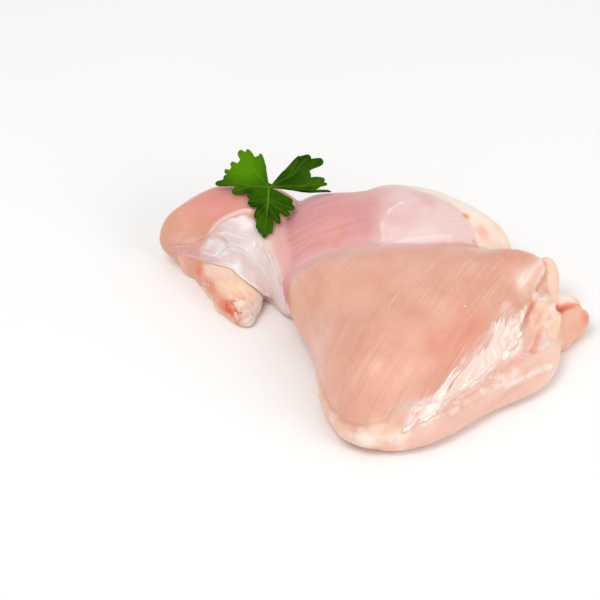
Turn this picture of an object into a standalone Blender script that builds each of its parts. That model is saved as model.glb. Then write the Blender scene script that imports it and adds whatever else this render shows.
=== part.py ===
"""A raw boneless chicken thigh without skin, opened out and folded over, with a parsley leaf lying on it.

All sizes are in millimetres: X runs along the thigh from its narrow left end to its cut right end, Y from
the front edge to the back and Z up from the surface that it rests on. MM turns them into metres.

The meat is one body of soft lobes. Each lobe is a muscle or a pad of fat: a ball drawn out to the lobe's
outline, domed on top and flat underneath. The lobes are joined, the joint lines are eased, the skin gets
its swells, creases and torn rim, and the bottom is cut level.

The leaf is a thin wavy sheet inside a toothed outline, held up where it meets the meat.
"""
import math

import bmesh
import bpy
import numpy as np
from mathutils import Vector
from mathutils import geometry
from mathutils import noise
from mathutils.bvhtree import BVHTree

MM = 0.001
TURN = 2 * math.pi

# The point on the resting surface, under the middle of the whole, that becomes the origin.
ORIGIN = (-0.9, 50.55, 0.0)

# Evenness of the joined meat: the size of its facets, how far and how often its joint lines are eased, and
# what share of the facets is kept.
FACET = 1.0
EASING = 0.5
EASING_STEPS = 5
KEPT_SHARE = 0.18

# How far below the resting surface the lobes reach before the bottom is cut level.
SUNK = 1.5

# How high each lobe's crown stands.
CROWNS = {
    "main_muscle": 31.0, "lower_fold": 15.6, "side_layer": 15.0, "rolled_end": 18.5, "tip": 10.5,
    "tip_flap": 11.6, "pink_muscle": 26.4, "pale_muscle": 29.8, "fat_pad": 20.0, "tongue": 24.0,
    "silverskin_slope": 20.5, "fat_flap": 12.2, "flap_root": 14.0,
}

# The slow swells of the skin and the lumps of the fat flap: how high and how wide they are, where the
# flap's middle is, and how far from it the lumps reach.
SWELL_HEIGHT = 0.4
SWELL_SIZE = 12.0
FLAP_LUMP_HEIGHT = 1.0
FLAP_LUMP_SIZE = 3.6
FLAP_MIDDLE = (-43.0, 63.0, 7.0)
FLAP_REACH = 13.0

# The ragged rim of torn fat along the large muscle's cut edge: half its width, how high it stands, how
# high and how wide its lumps are, and its line.
RIM_HALF_WIDTH = 3.0
RIM_HEIGHT = 1.1
RIM_LUMP_HEIGHT = 3.2
RIM_LUMP_SIZE = 2.6
RIM_LINE = (
    (44.5, 46.5, 17.3), (43, 43.3, 17.2), (41.5, 36.4, 17.5), (39.5, 31.5, 16.5), (36.1, 25.2, 15.8),
    (32, 20.3, 15.5), (28, 16.3, 13.8), (22.7, 11.2, 14.2), (18.2, 7.4, 13.5), (12.5, 3.9, 12),
    (8, 0.5, 9.1),
)

# The skin's relief fades out below this level, so that the resting face stays flat.
RELIEF_LEVEL = 3.0

# Creases and ridges. Each has half its width, its height, less than nothing for a crease, and its line.
CREASES = {
    "slit in the tip": (2.2, -1.5, [
        (52.2, 49.1, 12), (54.1, 52, 10.4), (56.6, 53.9, 10), (59.6, 55.2, 9.2),
    ]),
    "groove behind the nose": (2.2, -1.2, [(50.2, 63.7, 18.7), (50.4, 59.2, 17.4), (47.4, 52.1, 17.9)]),
    "groove under the cut edge": (2.4, -1.1, [
        (45.6, 30.8, 12.7), (40.8, 25.8, 13.2), (35.5, 21.5, 13.1), (28.5, 15.1, 12), (22.8, 10.5, 12.3),
        (15.9, 4.7, 11.3), (10.3, 1, 9.4),
    ]),
    "fold in the side": (2.2, -1.1, [
        (47.8, 46.6, 16.8), (46.6, 41.9, 14.6), (44.6, 35.7, 13.8), (43.3, 30.6, 13.6),
    ]),
    "ridge on the side": (2.0, 0.6, [(51.6, 50.4, 14), (51, 44.7, 14.2), (50, 40.7, 13.8)]),
    "ridge on the lower layer": (2.0, 0.6, [(37.5, 18.6, 9.3), (43.7, 23.4, 9.2), (50.4, 29.8, 7.5)]),
    "rim of the front edge": (2.0, -0.6, [
        (-15.4, 18, 9.9), (-11.4, 6.9, 9), (-3.8, 0, 10.7), (2.7, 0, 12.1),
    ]),
    "ridge of the membrane": (2.0, 0.5, [
        (2.2, 63.7, 27), (1.9, 70.1, 29.4), (5.2, 74.5, 30.4), (8.1, 76.3, 30.5),
    ]),
    "crease in the pink muscle": (2.4, -0.6, [(-11.9, 64.3, 25), (-10.4, 67.6, 25.7), (-9.3, 71.7, 26.2)]),
    "crease of the tongue": (2.0, 0.5, [(-50.1, 79.4, 15.2), (-46.1, 80.7, 20.7), (-37.4, 82.4, 23.2)]),
    "edge of the silverskin": (2.0, 0.5, [
        (-51.3, 73.5, 9.6), (-46.5, 69.7, 12.3), (-39, 64.8, 10.5), (-34, 64.1, 6.2),
    ]),
    "lip of the flap": (2.2, 0.7, [
        (-53, 74.5, 6), (-50.4, 69.5, 5.2), (-48.4, 65.8, 5.5), (-44, 59.5, 4),
    ]),
}

# How closely the places lie that lay a crease's line on the skin.
CREASE_SPACING = 2.0

# The parsley leaf: where its three leaflets meet, its thickness, how far it stays off the meat, and how
# gently it bends where the meat holds it up.
LEAF_HEART = (-31.9, 90.5, 25.0)
LEAF_THICKNESS = 0.7
LEAF_LIFT = 1.0
LEAF_DRAPE = 0.4

# How steeply its end leaflet falls and its side leaflets rise, how long the bend between them is, and the
# slow wave in it: radians for each millimetre across and along, and its height for each from the heart.
LEAF_FALL = 0.24
LEAF_RISE = 0.36
LEAF_BEND = 4.0
LEAF_WAVE_ACROSS = 0.5
LEAF_WAVE_ALONG = 0.35
LEAF_WAVE_HEIGHT = 1 / 30

# A leaf that lies aslant is shorter in plan than the leaf itself by this share.
LEAF_PLAN_SHARE = 0.93

# The leaf's mesh: the spacing of its inner points, the points on its rim, and half the square round it.
LEAF_MESH = 1.6
LEAF_RIM = 280
LEAF_SQUARE = 24.0

# Its outline: the radius round its heart, how squarely its webs and its teeth end, and how blunt both are.
LEAF_HEART_RADIUS = 1.2
LEAF_WEB_SQUARENESS = 6
LEAF_TOOTH_SQUARENESS = 3
LEAF_BLUNTNESS = 0.4

# The leaf has broad webs, and blunt teeth that stand out of them. Each is a direction in degrees, counted
# from the right towards the back, a reach in millimetres and half its spread in degrees.
LEAF_WEBS = (
    (33, 14.2, 14), (20, 13.0, 12), (3, 15.2, 9.5), (118, 9.8, 15), (127, 12.7, 10), (137, 12.2, 12),
    (154, 12.9, 15), (171, 14.0, 8.5), (186, 10.4, 14), (222, 7.4, 24), (266, 9.2, 24), (266, 14.8, 14),
    (303, 9.6, 26),
)
LEAF_TEETH = (
    (44, 12.8, 6), (37, 15.4, 8), (28, 18.2, 8), (7, 16.8, 6.5), (2, 17.4, 4), (-6.5, 18.7, 2),
    (106, 10.2, 7), (122, 13.0, 7), (130, 14.4, 8), (147.5, 13.7, 8), (161, 14.2, 6), (174.5, 16.2, 5.5),
    (190, 11.3, 9), (212, 7.6, 7), (229, 9.3, 8), (238, 10.0, 8), (252.5, 12.9, 5.5), (258, 15.9, 4.5),
    (262, 17.5, 5), (267, 19.7, 5), (272, 18.0, 5.5), (283, 14.1, 6), (299, 12.1, 8), (311, 11.4, 9),
    (322, 9.0, 7),
)

# The block that cuts the bottom level, in metres.
FLOOR_BLOCK = 0.3
FLOOR_DEPTH = 0.02


def in_metres(places):
    """Places in millimetres, as rows, turned into metres from the origin."""
    return (np.asarray(places, dtype=float) - np.array(ORIGIN)) * MM


def closed_curve(outline, centre, theta):
    """Distance from the centre and edge height at each angle: a closed cubic curve through the outline."""
    points = np.array(outline, dtype=float)
    offset = points[:, :2] - np.array(centre)
    angle = np.arctan2(offset[:, 1], offset[:, 0])
    order = np.argsort(angle)
    angle = angle[order]
    value = np.column_stack((np.hypot(offset[:, 0], offset[:, 1]), points[:, 2]))[order]
    angle = np.concatenate((angle[-2:] - TURN, angle, angle[:2] + TURN))
    value = np.concatenate((value[-2:], value, value[:2]))
    slope = np.gradient(value, angle, axis=0)
    left = np.clip(np.searchsorted(angle, theta) - 1, 0, len(angle) - 2)
    span = (angle[left + 1] - angle[left])[:, None]
    t = (theta - angle[left])[:, None] / span
    start = (2 * t**3 - 3 * t**2 + 1) * value[left] + (t**3 - 2 * t**2 + t) * span * slope[left]
    end = (3 * t**2 - 2 * t**3) * value[left + 1] + (t**3 - t**2) * span * slope[left + 1]
    return (start + end).T


def egg(centre, length, width, turn, height, taper=0.0, count=8):
    """Outline of an ellipse, turned by degrees, wider at its far end by the taper, at one edge height."""
    outline = []
    for step in range(count):
        angle = TURN * step / count
        along = length / 2 * math.cos(angle)
        across = width / 2 * math.sin(angle) * (1 + taper * math.cos(angle))
        heading = math.radians(turn)
        x = centre[0] + along * math.cos(heading) - across * math.sin(heading)
        y = centre[1] + along * math.sin(heading) + across * math.cos(heading)
        outline.append((x, y, height))
    return outline


def lobe(name, centre, outline, base=-SUNK, fall=(0, 0), fullness=2.6, ring=44, rows=22):
    """A ball drawn out to the outline, domed up to its crown, sloped by the fall, and down to the base."""
    mesh = bpy.data.meshes.new(name)
    ball = bmesh.new()
    bmesh.ops.create_uvsphere(ball, u_segments=ring, v_segments=rows, radius=1.0)
    unit = np.array([vertex.co for vertex in ball.verts])
    theta = np.arctan2(unit[:, 1], unit[:, 0])
    reach = np.minimum(np.hypot(unit[:, 0], unit[:, 1]), 1.0)
    radius, edge = closed_curve(outline, centre, theta)
    x = radius * reach * np.cos(theta)
    y = radius * reach * np.sin(theta)
    dome = (1 - reach**fullness) ** 0.5
    top = CROWNS[name] + fall[0] * x + fall[1] * y
    z = edge + dome * np.where(unit[:, 2] >= 0, top - edge, base - edge)
    for vertex, place in zip(ball.verts, in_metres(np.column_stack((x + centre[0], y + centre[1], z)))):
        vertex.co = place
    ball.to_mesh(mesh)
    ball.free()
    return bpy.data.objects.new(name, mesh)


def main_muscle():
    """The big smooth muscle in front: a rounded left rim, a cut right edge and a blunt nose behind it."""
    outline = [
        (-20.5, 40.8, 8), (-16.8, 25, 6.5), (-13.7, 11, 5), (-9, 2.2, 4.5), (-1, -1.8, 4.5),
        (8, 1.5, 7), (15, 6.5, 10), (27, 17, 12), (36, 29, 13), (41.5, 38, 13.5), (45, 47, 14),
        (50, 57, 14), (51.3, 63, 15.3), (47.8, 66.8, 15.5), (38.5, 67.5, 15.5), (27, 69, 16.5), (8, 69, 17),
        (-12, 65.5, 16), (-26, 54, 13),
    ]
    return lobe("main_muscle", (12, 36), outline, fall=(-0.03, 0.0), fullness=2.8)


def lower_fold():
    """The layer folded under the main muscle, which stands out beyond its cut edge."""
    outline = [
        (-8, 6, 4), (-3, 0, 4), (5, -1.5, 3.5), (12.3, -0.2, 4), (19.4, 3.6, 4), (27.2, 9.9, 4),
        (39, 18.7, 4), (46.5, 24, 4), (53, 32.8, 4), (54.3, 39, 5), (52, 50, 6), (36, 58, 6),
        (8, 54, 6), (-10, 30, 5),
    ]
    return lobe("lower_fold", (18, 28), outline, fullness=4.0)


def right_end():
    """What shows beyond the cut edge: the ends of the fold's layers, a roll, and the tip with its slit."""
    side = lobe("side_layer", (48, 46), egg((48, 46), 26, 12.5, 78, 8))
    roll = lobe("rolled_end", (50, 64), egg((50, 64), 14, 9, 85, 11), base=2)
    tip_outline = [
        (63.2, 52.8, 6), (61.6, 50, 6), (58.8, 47.2, 5), (56, 43.5, 4.5), (51, 42, 5), (48, 50, 6),
        (51, 58, 7), (56.5, 58.4, 7), (60.6, 56.4, 6.5),
    ]
    tip = lobe("tip", (55, 51), tip_outline, fullness=2.8)
    flap = lobe("tip_flap", (55.6, 56.6), egg((55.6, 56.6), 12, 6, -18, 8), fullness=2.4)
    return [side, roll, tip, flap]


def back_band():
    """The two muscles behind the main one, and the pad of fat that ends them on the right."""
    pink_outline = [
        (-30, 78, 12), (-28.5, 64, 11), (-24, 54, 12), (-10, 52, 12), (8, 60, 12), (12, 80, 12),
        (6, 96.5, 11), (-8, 97.5, 11), (-22, 97, 11),
    ]
    pink = lobe("pink_muscle", (-9, 75), pink_outline, fall=(0.12, 0.02), fullness=2.8)
    pale_outline = [
        (-8, 62, 12), (-12, 80, 12), (-6, 94, 12), (7, 98.8, 11), (18, 97.5, 11), (27, 94, 10),
        (35, 89, 9), (40.5, 82, 9), (39, 72, 10), (30, 58, 12), (8, 54, 12),
    ]
    pale = lobe("pale_muscle", (15, 76), pale_outline, fall=(-0.18, 0.0), fullness=2.2)
    fat = lobe("fat_pad", (34, 79), egg((34, 79), 18, 12.5, 118, 9))
    return [pink, pale, fat]


def left_end():
    """The tongue-shaped muscle on the left, the slope under its silverskin and the flap of fat below."""
    tongue_outline = [
        (-65.3, 86.3, 8.5), (-62, 92.5, 9), (-56.5, 98, 9), (-50, 102, 9), (-36, 102, 9), (-24, 99, 10),
        (-20, 84, 10), (-28, 74, 9), (-42, 74, 8), (-52, 79, 7.5), (-58.5, 82, 8), (-63, 83.8, 8),
    ]
    tongue = lobe("tongue", (-43, 88), tongue_outline, fall=(0.02, 0.03), fullness=2.6)
    slope_outline = [
        (-48, 76, 6), (-40, 68, 4), (-33.5, 67.5, 4), (-30, 63.5, 4), (-25, 57, 6), (-19, 53, 8),
        (-20, 70, 10), (-26, 84, 12), (-44, 88, 10),
    ]
    slope = lobe("silverskin_slope", (-32, 73), slope_outline, fall=(0.1, 0.1), fullness=2.8)
    flap_outline = [
        (-52.5, 74, 3), (-50.2, 69, 2.5), (-48, 63, 2), (-44, 59, 1.5), (-39.5, 55, 1.5), (-37, 54.8, 1.5),
        (-35, 59.3, 2), (-33, 66, 4), (-37, 76, 6), (-46, 80, 6), (-51.5, 78.5, 5),
    ]
    flap = lobe("fat_flap", (-44, 68), flap_outline, fall=(0.0, 0.3), fullness=2.8)
    root_outline = [
        (-60, 82.5, 5), (-56, 78.5, 4), (-52, 73.5, 3), (-48, 72, 3), (-44, 76, 5), (-46, 84, 6),
        (-54, 87, 6), (-59.5, 86, 6),
    ]
    root = lobe("flap_root", (-52, 80), root_outline, fall=(0.0, 0.3), fullness=2.8)
    return [tongue, slope, flap, root]


def apply_modifiers(body):
    """The object's mesh as its modifiers leave it, kept as its own mesh, with the modifiers gone."""
    graph = bpy.context.evaluated_depsgraph_get()
    mesh = bpy.data.meshes.new_from_object(body.evaluated_get(graph))
    body.modifiers.clear()
    body.data = mesh


def fuse(body, pieces):
    """One Boolean union of the body with the pieces, after which they go."""
    collection = bpy.data.collections.new("pieces")
    bpy.context.scene.collection.children.link(collection)
    for piece in pieces:
        collection.objects.link(piece)
    union = body.modifiers.new("join", "BOOLEAN")
    union.operation = "UNION"
    union.operand_type = "COLLECTION"
    union.collection = collection
    apply_modifiers(body)
    for piece in pieces:
        bpy.data.objects.remove(piece)
    bpy.data.collections.remove(collection)


def fade(distance, reach):
    """1 at no distance, falling by a smooth curve to 0 at the reach."""
    share = np.clip(1 - distance / reach, 0, 1)
    return share * share * (3 - 2 * share)


def uneven(places, size):
    """Smooth random numbers from about -1 to 1 at the places, in swells of one size."""
    return np.array([noise.noise(Vector(place)) for place in places / size])


def laid_on(tree, line):
    """The line's places at even distances, each moved to the nearest place on the skin."""
    line = np.array(line, dtype=float)
    reach = np.concatenate(([0], np.cumsum(np.linalg.norm(np.diff(line, axis=0), axis=1))))
    marks = np.linspace(0, reach[-1], math.ceil(reach[-1] / CREASE_SPACING) + 1)
    even = np.column_stack([np.interp(marks, reach, column) for column in line.T])
    found = [tree.find_nearest(Vector(place))[0] for place in in_metres(even)]
    return np.array(found) / MM + np.array(ORIGIN)


def distance_to(places, line):
    """Each place's distance to the line through points."""
    best = np.full(len(places), np.inf)
    for start, end in zip(line[:-1], line[1:]):
        run = end - start
        share = np.clip((places - start) @ run / (run @ run), 0, 1)
        best = np.minimum(best, np.linalg.norm(places - start - share[:, None] * run, axis=1))
    return best


def raise_relief(body):
    """Moves the skin along the way it faces: swells, the flap's lumps, creases, ridges and the torn rim."""
    tree = BVHTree.FromObject(body, bpy.context.evaluated_depsgraph_get())
    skin = body.data.vertices
    places = np.array([vertex.co for vertex in skin]) / MM + np.array(ORIGIN)
    from_flap = np.linalg.norm(places - np.array(FLAP_MIDDLE), axis=1)
    relief = SWELL_HEIGHT * uneven(places, SWELL_SIZE)
    relief = relief + FLAP_LUMP_HEIGHT * uneven(places, FLAP_LUMP_SIZE) * fade(from_flap, FLAP_REACH)
    for half_width, height, line in CREASES.values():
        relief = relief + height * fade(distance_to(places, laid_on(tree, line)), half_width)
    rim = RIM_HEIGHT + RIM_LUMP_HEIGHT * uneven(places, RIM_LUMP_SIZE)
    relief = relief + rim * fade(distance_to(places, laid_on(tree, RIM_LINE)), RIM_HALF_WIDTH)
    relief = relief * np.clip(places[:, 2] / RELIEF_LEVEL, 0, 1)
    normals = np.array([vertex.normal for vertex in skin])
    for vertex, place in zip(skin, in_metres(places + relief[:, None] * normals)):
        vertex.co = place


def build_thigh(collection, cutters):
    """The meat: its lobes joined in one body, evened out, eased, given its relief and cut level."""
    body = main_muscle()
    body.name = "thigh"
    collection.objects.link(body)
    fuse(body, [lower_fold()] + right_end() + back_band() + left_end())
    even = body.modifiers.new("even", "REMESH")
    even.mode = "VOXEL"
    even.voxel_size = FACET * MM
    ease = body.modifiers.new("ease", "SMOOTH")
    ease.factor = EASING
    ease.iterations = EASING_STEPS
    apply_modifiers(body)
    raise_relief(body)
    thin = body.modifiers.new("thin", "DECIMATE")
    thin.ratio = KEPT_SHARE
    level = body.modifiers.new("level", "BOOLEAN")
    level.operation = "DIFFERENCE"
    level.object = floor_cutter(cutters)
    apply_modifiers(body)
    body.data.shade_smooth()
    body.data.materials.append(finish("raw_meat", (0.79, 0.44, 0.33), roughness=0.35))
    return body


def floor_cutter(cutters):
    """The block under the resting surface that cuts the meat's bottom level."""
    mesh = bpy.data.meshes.new("floor_cutter")
    block = bmesh.new()
    bmesh.ops.create_cube(block, size=1.0)
    for vertex in block.verts:
        vertex.co.z -= 0.5
        vertex.co *= Vector((FLOOR_BLOCK, FLOOR_BLOCK, FLOOR_DEPTH))
    block.to_mesh(mesh)
    block.free()
    cutter = bpy.data.objects.new("floor_cutter", mesh)
    cutter.display_type = "WIRE"
    cutter.hide_render = True
    cutters.objects.link(cutter)
    return cutter


def finish(name, colour, roughness):
    """A material of one colour, given as linear red, green and blue."""
    material = bpy.data.materials.new(name)
    material.use_nodes = True
    shader = material.node_tree.nodes["Principled BSDF"]
    shader.inputs["Base Color"].default_value = (*colour, 1.0)
    shader.inputs["Roughness"].default_value = roughness
    return material


def leaf_reach(theta):
    """How far the leaf reaches from its heart each way: the furthest of its webs and teeth there."""
    reach = np.full(theta.shape, LEAF_HEART_RADIUS)
    for fingers, squareness in ((LEAF_WEBS, LEAF_WEB_SQUARENESS), (LEAF_TEETH, LEAF_TOOTH_SQUARENESS)):
        for degrees, length, half_spread in fingers:
            away = (theta - math.radians(degrees) + math.pi) % TURN - math.pi
            across = np.minimum(np.abs(away) / math.radians(half_spread), 1.0)
            reach = np.maximum(reach, length * (1 - across**squareness) ** LEAF_BLUNTNESS)
    return reach


def leaf_height(across, along):
    """The free leaf's height over its heart: falling to the front, rising to the back, in a slow wave."""
    bend = (np.hypot(along, LEAF_BEND) + along) / 2
    wave = np.sin(LEAF_WAVE_ACROSS * across + LEAF_WAVE_ALONG * along) * np.hypot(across, along)
    return LEAF_FALL * along + LEAF_RISE * bend + LEAF_WAVE_HEIGHT * wave


def meat_height(tree, x, y, step=1.0, above=100.0):
    """The meat's highest level within a step of a place, or the resting surface where no meat is below."""
    highest = 0.0
    for shift in ((0, 0), (step, 0), (-step, 0), (0, step), (0, -step)):
        start = Vector(in_metres((x + shift[0], y + shift[1], above)))
        hit = tree.ray_cast(start, Vector((0, 0, -1)))[0]
        if hit is not None:
            highest = max(highest, hit.z / MM)
    return highest


def build_leaf(collection, body):
    """The parsley leaf: a thin wavy sheet of three toothed leaflets, held up where it meets the meat."""
    theta = np.linspace(0, TURN, LEAF_RIM, endpoint=False)
    reach = leaf_reach(theta)
    rim = np.column_stack((reach * np.cos(theta), reach * np.sin(theta)))
    side = np.arange(-LEAF_SQUARE, LEAF_SQUARE, LEAF_MESH)
    across, along = np.meshgrid(side, side * math.sin(math.radians(60)))
    across = across + LEAF_MESH / 2 * (np.arange(len(side)) % 2)[:, None]
    inner = np.column_stack((across.ravel(), along.ravel()))
    room = leaf_reach(np.arctan2(inner[:, 1], inner[:, 0])) - np.hypot(inner[:, 0], inner[:, 1])
    inner = inner[room > LEAF_MESH / 2]
    flat = np.concatenate((rim, inner))
    loop = [(step, (step + 1) % LEAF_RIM) for step in range(LEAF_RIM)]
    points = [Vector(place) for place in flat]
    places, _, faces, _, _, _ = geometry.delaunay_2d_cdt(points, loop, [], 1, 1e-6)
    flat = np.array(places)
    x = LEAF_HEART[0] + flat[:, 0]
    y = LEAF_HEART[1] + flat[:, 1] * LEAF_PLAN_SHARE
    free = LEAF_HEART[2] + leaf_height(flat[:, 0], flat[:, 1])
    tree = BVHTree.FromObject(body, bpy.context.evaluated_depsgraph_get())
    under = np.array([meat_height(tree, *place) for place in zip(x, y)]) + LEAF_LIFT
    z = (free + under + np.hypot(free - under, LEAF_DRAPE)) / 2
    mesh = bpy.data.meshes.new("parsley")
    mesh.from_pydata(in_metres(np.column_stack((x, y, z))).tolist(), [], faces)
    leaf = bpy.data.objects.new("parsley", mesh)
    collection.objects.link(leaf)
    wall = leaf.modifiers.new("thickness", "SOLIDIFY")
    wall.thickness = LEAF_THICKNESS * MM
    wall.offset = 0.0
    mesh.shade_smooth()
    mesh.materials.append(finish("parsley_leaf", (0.07, 0.16, 0.01), roughness=0.45))
    return leaf


def main():
    """Clears the scene and builds the thigh and its leaf."""
    for old in list(bpy.data.objects):
        bpy.data.objects.remove(old)
    collection = bpy.data.collections.new("raw_chicken_thigh")
    cutters = bpy.data.collections.new("cutters")
    for group in (collection, cutters):
        bpy.context.scene.collection.children.link(group)
    body = build_thigh(collection, cutters)
    build_leaf(collection, body)


main()
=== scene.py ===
# %% [markdown]
# # A raw chicken thigh with a parsley leaf
# The thigh is boneless and skinless, opened out, folded over and laid on a pale table, with one flat
# parsley leaf on its narrow end. This lesson dresses the plain CAD model: the meat gets its muscle grain,
# membranes, ragged fat and wet shine, and the leaf gets its veins.
# Everything is worked out in millimetres on the drawing that the CAD model follows, and turned into
# metres round the same origin, so that each piece lands exactly where its solid is.

# %% Load the frame
import math

import bpy
import numpy as np
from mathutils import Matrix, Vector
from mathutils import geometry
from mathutils.bvhtree import BVHTree


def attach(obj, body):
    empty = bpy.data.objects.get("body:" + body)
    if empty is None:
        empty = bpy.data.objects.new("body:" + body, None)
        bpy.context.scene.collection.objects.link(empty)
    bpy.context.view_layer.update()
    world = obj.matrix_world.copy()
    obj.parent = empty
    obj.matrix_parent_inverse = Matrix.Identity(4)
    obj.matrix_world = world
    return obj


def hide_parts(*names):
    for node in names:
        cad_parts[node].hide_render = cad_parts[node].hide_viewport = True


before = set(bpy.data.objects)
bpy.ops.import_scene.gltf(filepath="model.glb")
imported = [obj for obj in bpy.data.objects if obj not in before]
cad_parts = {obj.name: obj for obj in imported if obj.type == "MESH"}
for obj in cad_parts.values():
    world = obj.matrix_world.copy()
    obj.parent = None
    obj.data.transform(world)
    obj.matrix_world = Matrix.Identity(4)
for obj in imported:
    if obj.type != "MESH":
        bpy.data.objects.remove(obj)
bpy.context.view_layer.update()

TURN = 2 * math.pi
MM = 0.001
# Where the model's origin lies on the drawing.
ORIGIN = np.array((-0.9, 50.55, 0.0))
print("nodes:", sorted(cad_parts))


def in_metres(places):
    """Places on the drawing, in millimetres, turned into metres from the model's origin."""
    return (np.asarray(places, dtype=float) - ORIGIN) * MM


def in_scene(name, data):
    """An object for the mesh, the lamp or the camera, linked into the scene."""
    made = bpy.data.objects.new(name, data)
    bpy.context.scene.collection.objects.link(made)
    return made


# %% [markdown]
# ## Camera
# The photograph was taken from about 40 degrees above, with the thigh across the middle of the picture.
# A long lens from 0.9 m keeps its proportions. The lens is worked out so that one picture element covers
# the millimetres it covers in the photograph, and a small shift puts the meat where it is there.

# %% Set the camera
# The picture's side in dots, and the millimetres that one dot of the photograph covers.
PICTURE = 600
MM_PER_DOT = 125 / 429
DISTANCE = 900.0
RISE = math.radians(40)
# The place on the drawing that the camera turns round, and the dot where the photograph shows it.
AIM = np.array((0.0, 45.0, 12.0))
AIM_DOT = (375.5, 320.2)
SENSOR = 36.0

camera = bpy.data.cameras.new("camera")
camera.sensor_width = SENSOR
camera.lens = SENSOR * DISTANCE / (PICTURE * MM_PER_DOT)
camera.shift_x = (PICTURE / 2 - AIM_DOT[0]) / PICTURE
camera.shift_y = (AIM_DOT[1] - PICTURE / 2) / PICTURE
viewer = in_scene("camera", camera)
viewer.location = in_metres(AIM + DISTANCE * np.array((0.0, -math.cos(RISE), math.sin(RISE))))
viewer.rotation_euler = (math.pi / 2 - RISE, 0.0, 0.0)
bpy.context.scene.camera = viewer
print("lens:", round(camera.lens), "mm")

# %% [markdown]
# ## Grids and skins
# A ball is a grid of two parameters: a direction round it and a fall from its top to its bottom. Muscles,
# pads of fat and crumbs are all balls drawn out to other outlines, so the grid is made once, here.
# Several balls laid over each other become one skin by a voxel remesh, which keeps only the outside.

# %% Make grids and skins


def ball(around, rows):
    """Unit ball: points at direction theta and fall phi, (sin phi cos theta, sin phi sin theta, cos phi).

    The faces are quads between neighbouring rings and a fan of triangles at each pole.
    """
    theta = np.linspace(0, TURN, around, endpoint=False)
    phi = np.linspace(0, math.pi, rows + 1)[1:-1]
    fall, turn = np.meshgrid(phi, theta, indexing="ij")
    rings = np.stack((np.sin(fall) * np.cos(turn), np.sin(fall) * np.sin(turn), np.cos(fall)), axis=-1)
    points = np.concatenate(([[0, 0, 1]], rings.reshape(-1, 3), [[0, 0, -1]]))
    here = np.arange(around)
    after = (here + 1) % around
    ring = 1 + around * np.arange(rows - 2)[:, None]
    quads = np.stack((ring + here, ring + around + here, ring + around + after, ring + after), axis=-1)
    last = len(points) - 1
    final = last - around
    fans = [(0, 1 + a, 1 + b) for a, b in zip(here, after)]
    fans += [(last, final + b, final + a) for a, b in zip(here, after)]
    return points, quads.reshape(-1, 4).tolist() + fans


def one_mesh(name, pieces):
    """One object that holds all the pieces' points, in millimetres on the drawing, and their faces."""
    points, faces, count = [], [], 0
    for piece_points, piece_faces in pieces:
        points.append(piece_points)
        faces += [[corner + count for corner in face] for face in piece_faces]
        count += len(piece_points)
    mesh = bpy.data.meshes.new(name)
    mesh.from_pydata(in_metres(np.concatenate(points)).tolist(), [], faces)
    return in_scene(name, mesh)


def applied(made):
    """Turns what the modifiers show into the object's own mesh, and takes the modifiers off."""
    graph = bpy.context.evaluated_depsgraph_get()
    old = made.data
    made.data = bpy.data.meshes.new_from_object(made.evaluated_get(graph))
    made.modifiers.clear()
    bpy.data.meshes.remove(old)
    made.data.name = made.name
    return made


def one_skin(name, pieces, voxel):
    """One closed mesh round all the pieces, with facets of the voxel's size, in millimetres."""
    skin = one_mesh(name, pieces)
    wrap = skin.modifiers.new("wrap", "REMESH")
    wrap.mode = "VOXEL"
    wrap.voxel_size = voxel * MM
    return applied(skin)


def read_points(mesh):
    """The mesh's points on the drawing, in millimetres."""
    flat = np.empty(len(mesh.vertices) * 3)
    mesh.vertices.foreach_get("co", flat)
    return flat.reshape(-1, 3) / MM + ORIGIN


def write_points(mesh, points):
    """Puts the drawing's points, in millimetres, back into the mesh."""
    mesh.vertices.foreach_set("co", in_metres(points).ravel())
    mesh.update()


def read_normals(mesh):
    """The direction in which the surface faces at each point."""
    flat = np.empty(len(mesh.vertices) * 3)
    mesh.vertex_normals.foreach_get("vector", flat)
    return flat.reshape(-1, 3)


# The share of the way to the mean of its neighbours by which a point moves in one step of easing.
EASING = 0.5


def eased(mesh, steps):
    """Eases the mesh: in each step every point moves towards the mean of its neighbours."""
    points = read_points(mesh)
    flat = np.empty(len(mesh.edges) * 2, dtype=np.int64)
    mesh.edges.foreach_get("vertices", flat)
    a, b = flat.reshape(-1, 2).T
    count = np.bincount(flat, minlength=len(points))
    for _ in range(steps):
        mean = [(np.bincount(a, column[b], len(points)) + np.bincount(b, column[a], len(points))) / count
                for column in points.T]
        points = points + EASING * (np.stack(mean, axis=1) - points)
    write_points(mesh, points)
    return points


def raised(mesh, points, lift, floor):
    """Moves each point out along its normal by the lift, in millimetres, and keeps it above the floor."""
    points = points + read_normals(mesh) * lift[:, None]
    points[:, 2] = np.maximum(points[:, 2], floor)
    write_points(mesh, points)
    return points


def store(mesh, name, values, kind="FLOAT"):
    """Keeps a number or a vector at each point, for the materials to read."""
    layer = mesh.attributes.new(name, kind, "POINT")
    field = "value" if kind == "FLOAT" else "vector"
    layer.data.foreach_set(field, np.asarray(values, dtype=np.float32).ravel())


# %% [markdown]
# ## Muscles and pads of fat
# A thigh is several muscles held in one skin of membrane. Each one here is a ball drawn out to the
# outline that it has on the drawing, at the height that its edge has, with a domed top. They are the same
# lobes as the CAD model's, on a much finer grid.

# %% Shape the lobes
# How far the lobes reach below the table, where the skin is cut off level.
SUNK = 1.5


def egg(centre, length, width, turn, height, count=8):
    """Outline of an ellipse turned by degrees, with its edge at one height."""
    angle = TURN * np.arange(count) / count
    heading = math.radians(turn)
    along, across = length / 2 * np.cos(angle), width / 2 * np.sin(angle)
    x = centre[0] + along * math.cos(heading) - across * math.sin(heading)
    y = centre[1] + along * math.sin(heading) + across * math.cos(heading)
    return np.column_stack((x, y, np.full(count, height))).tolist()


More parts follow.
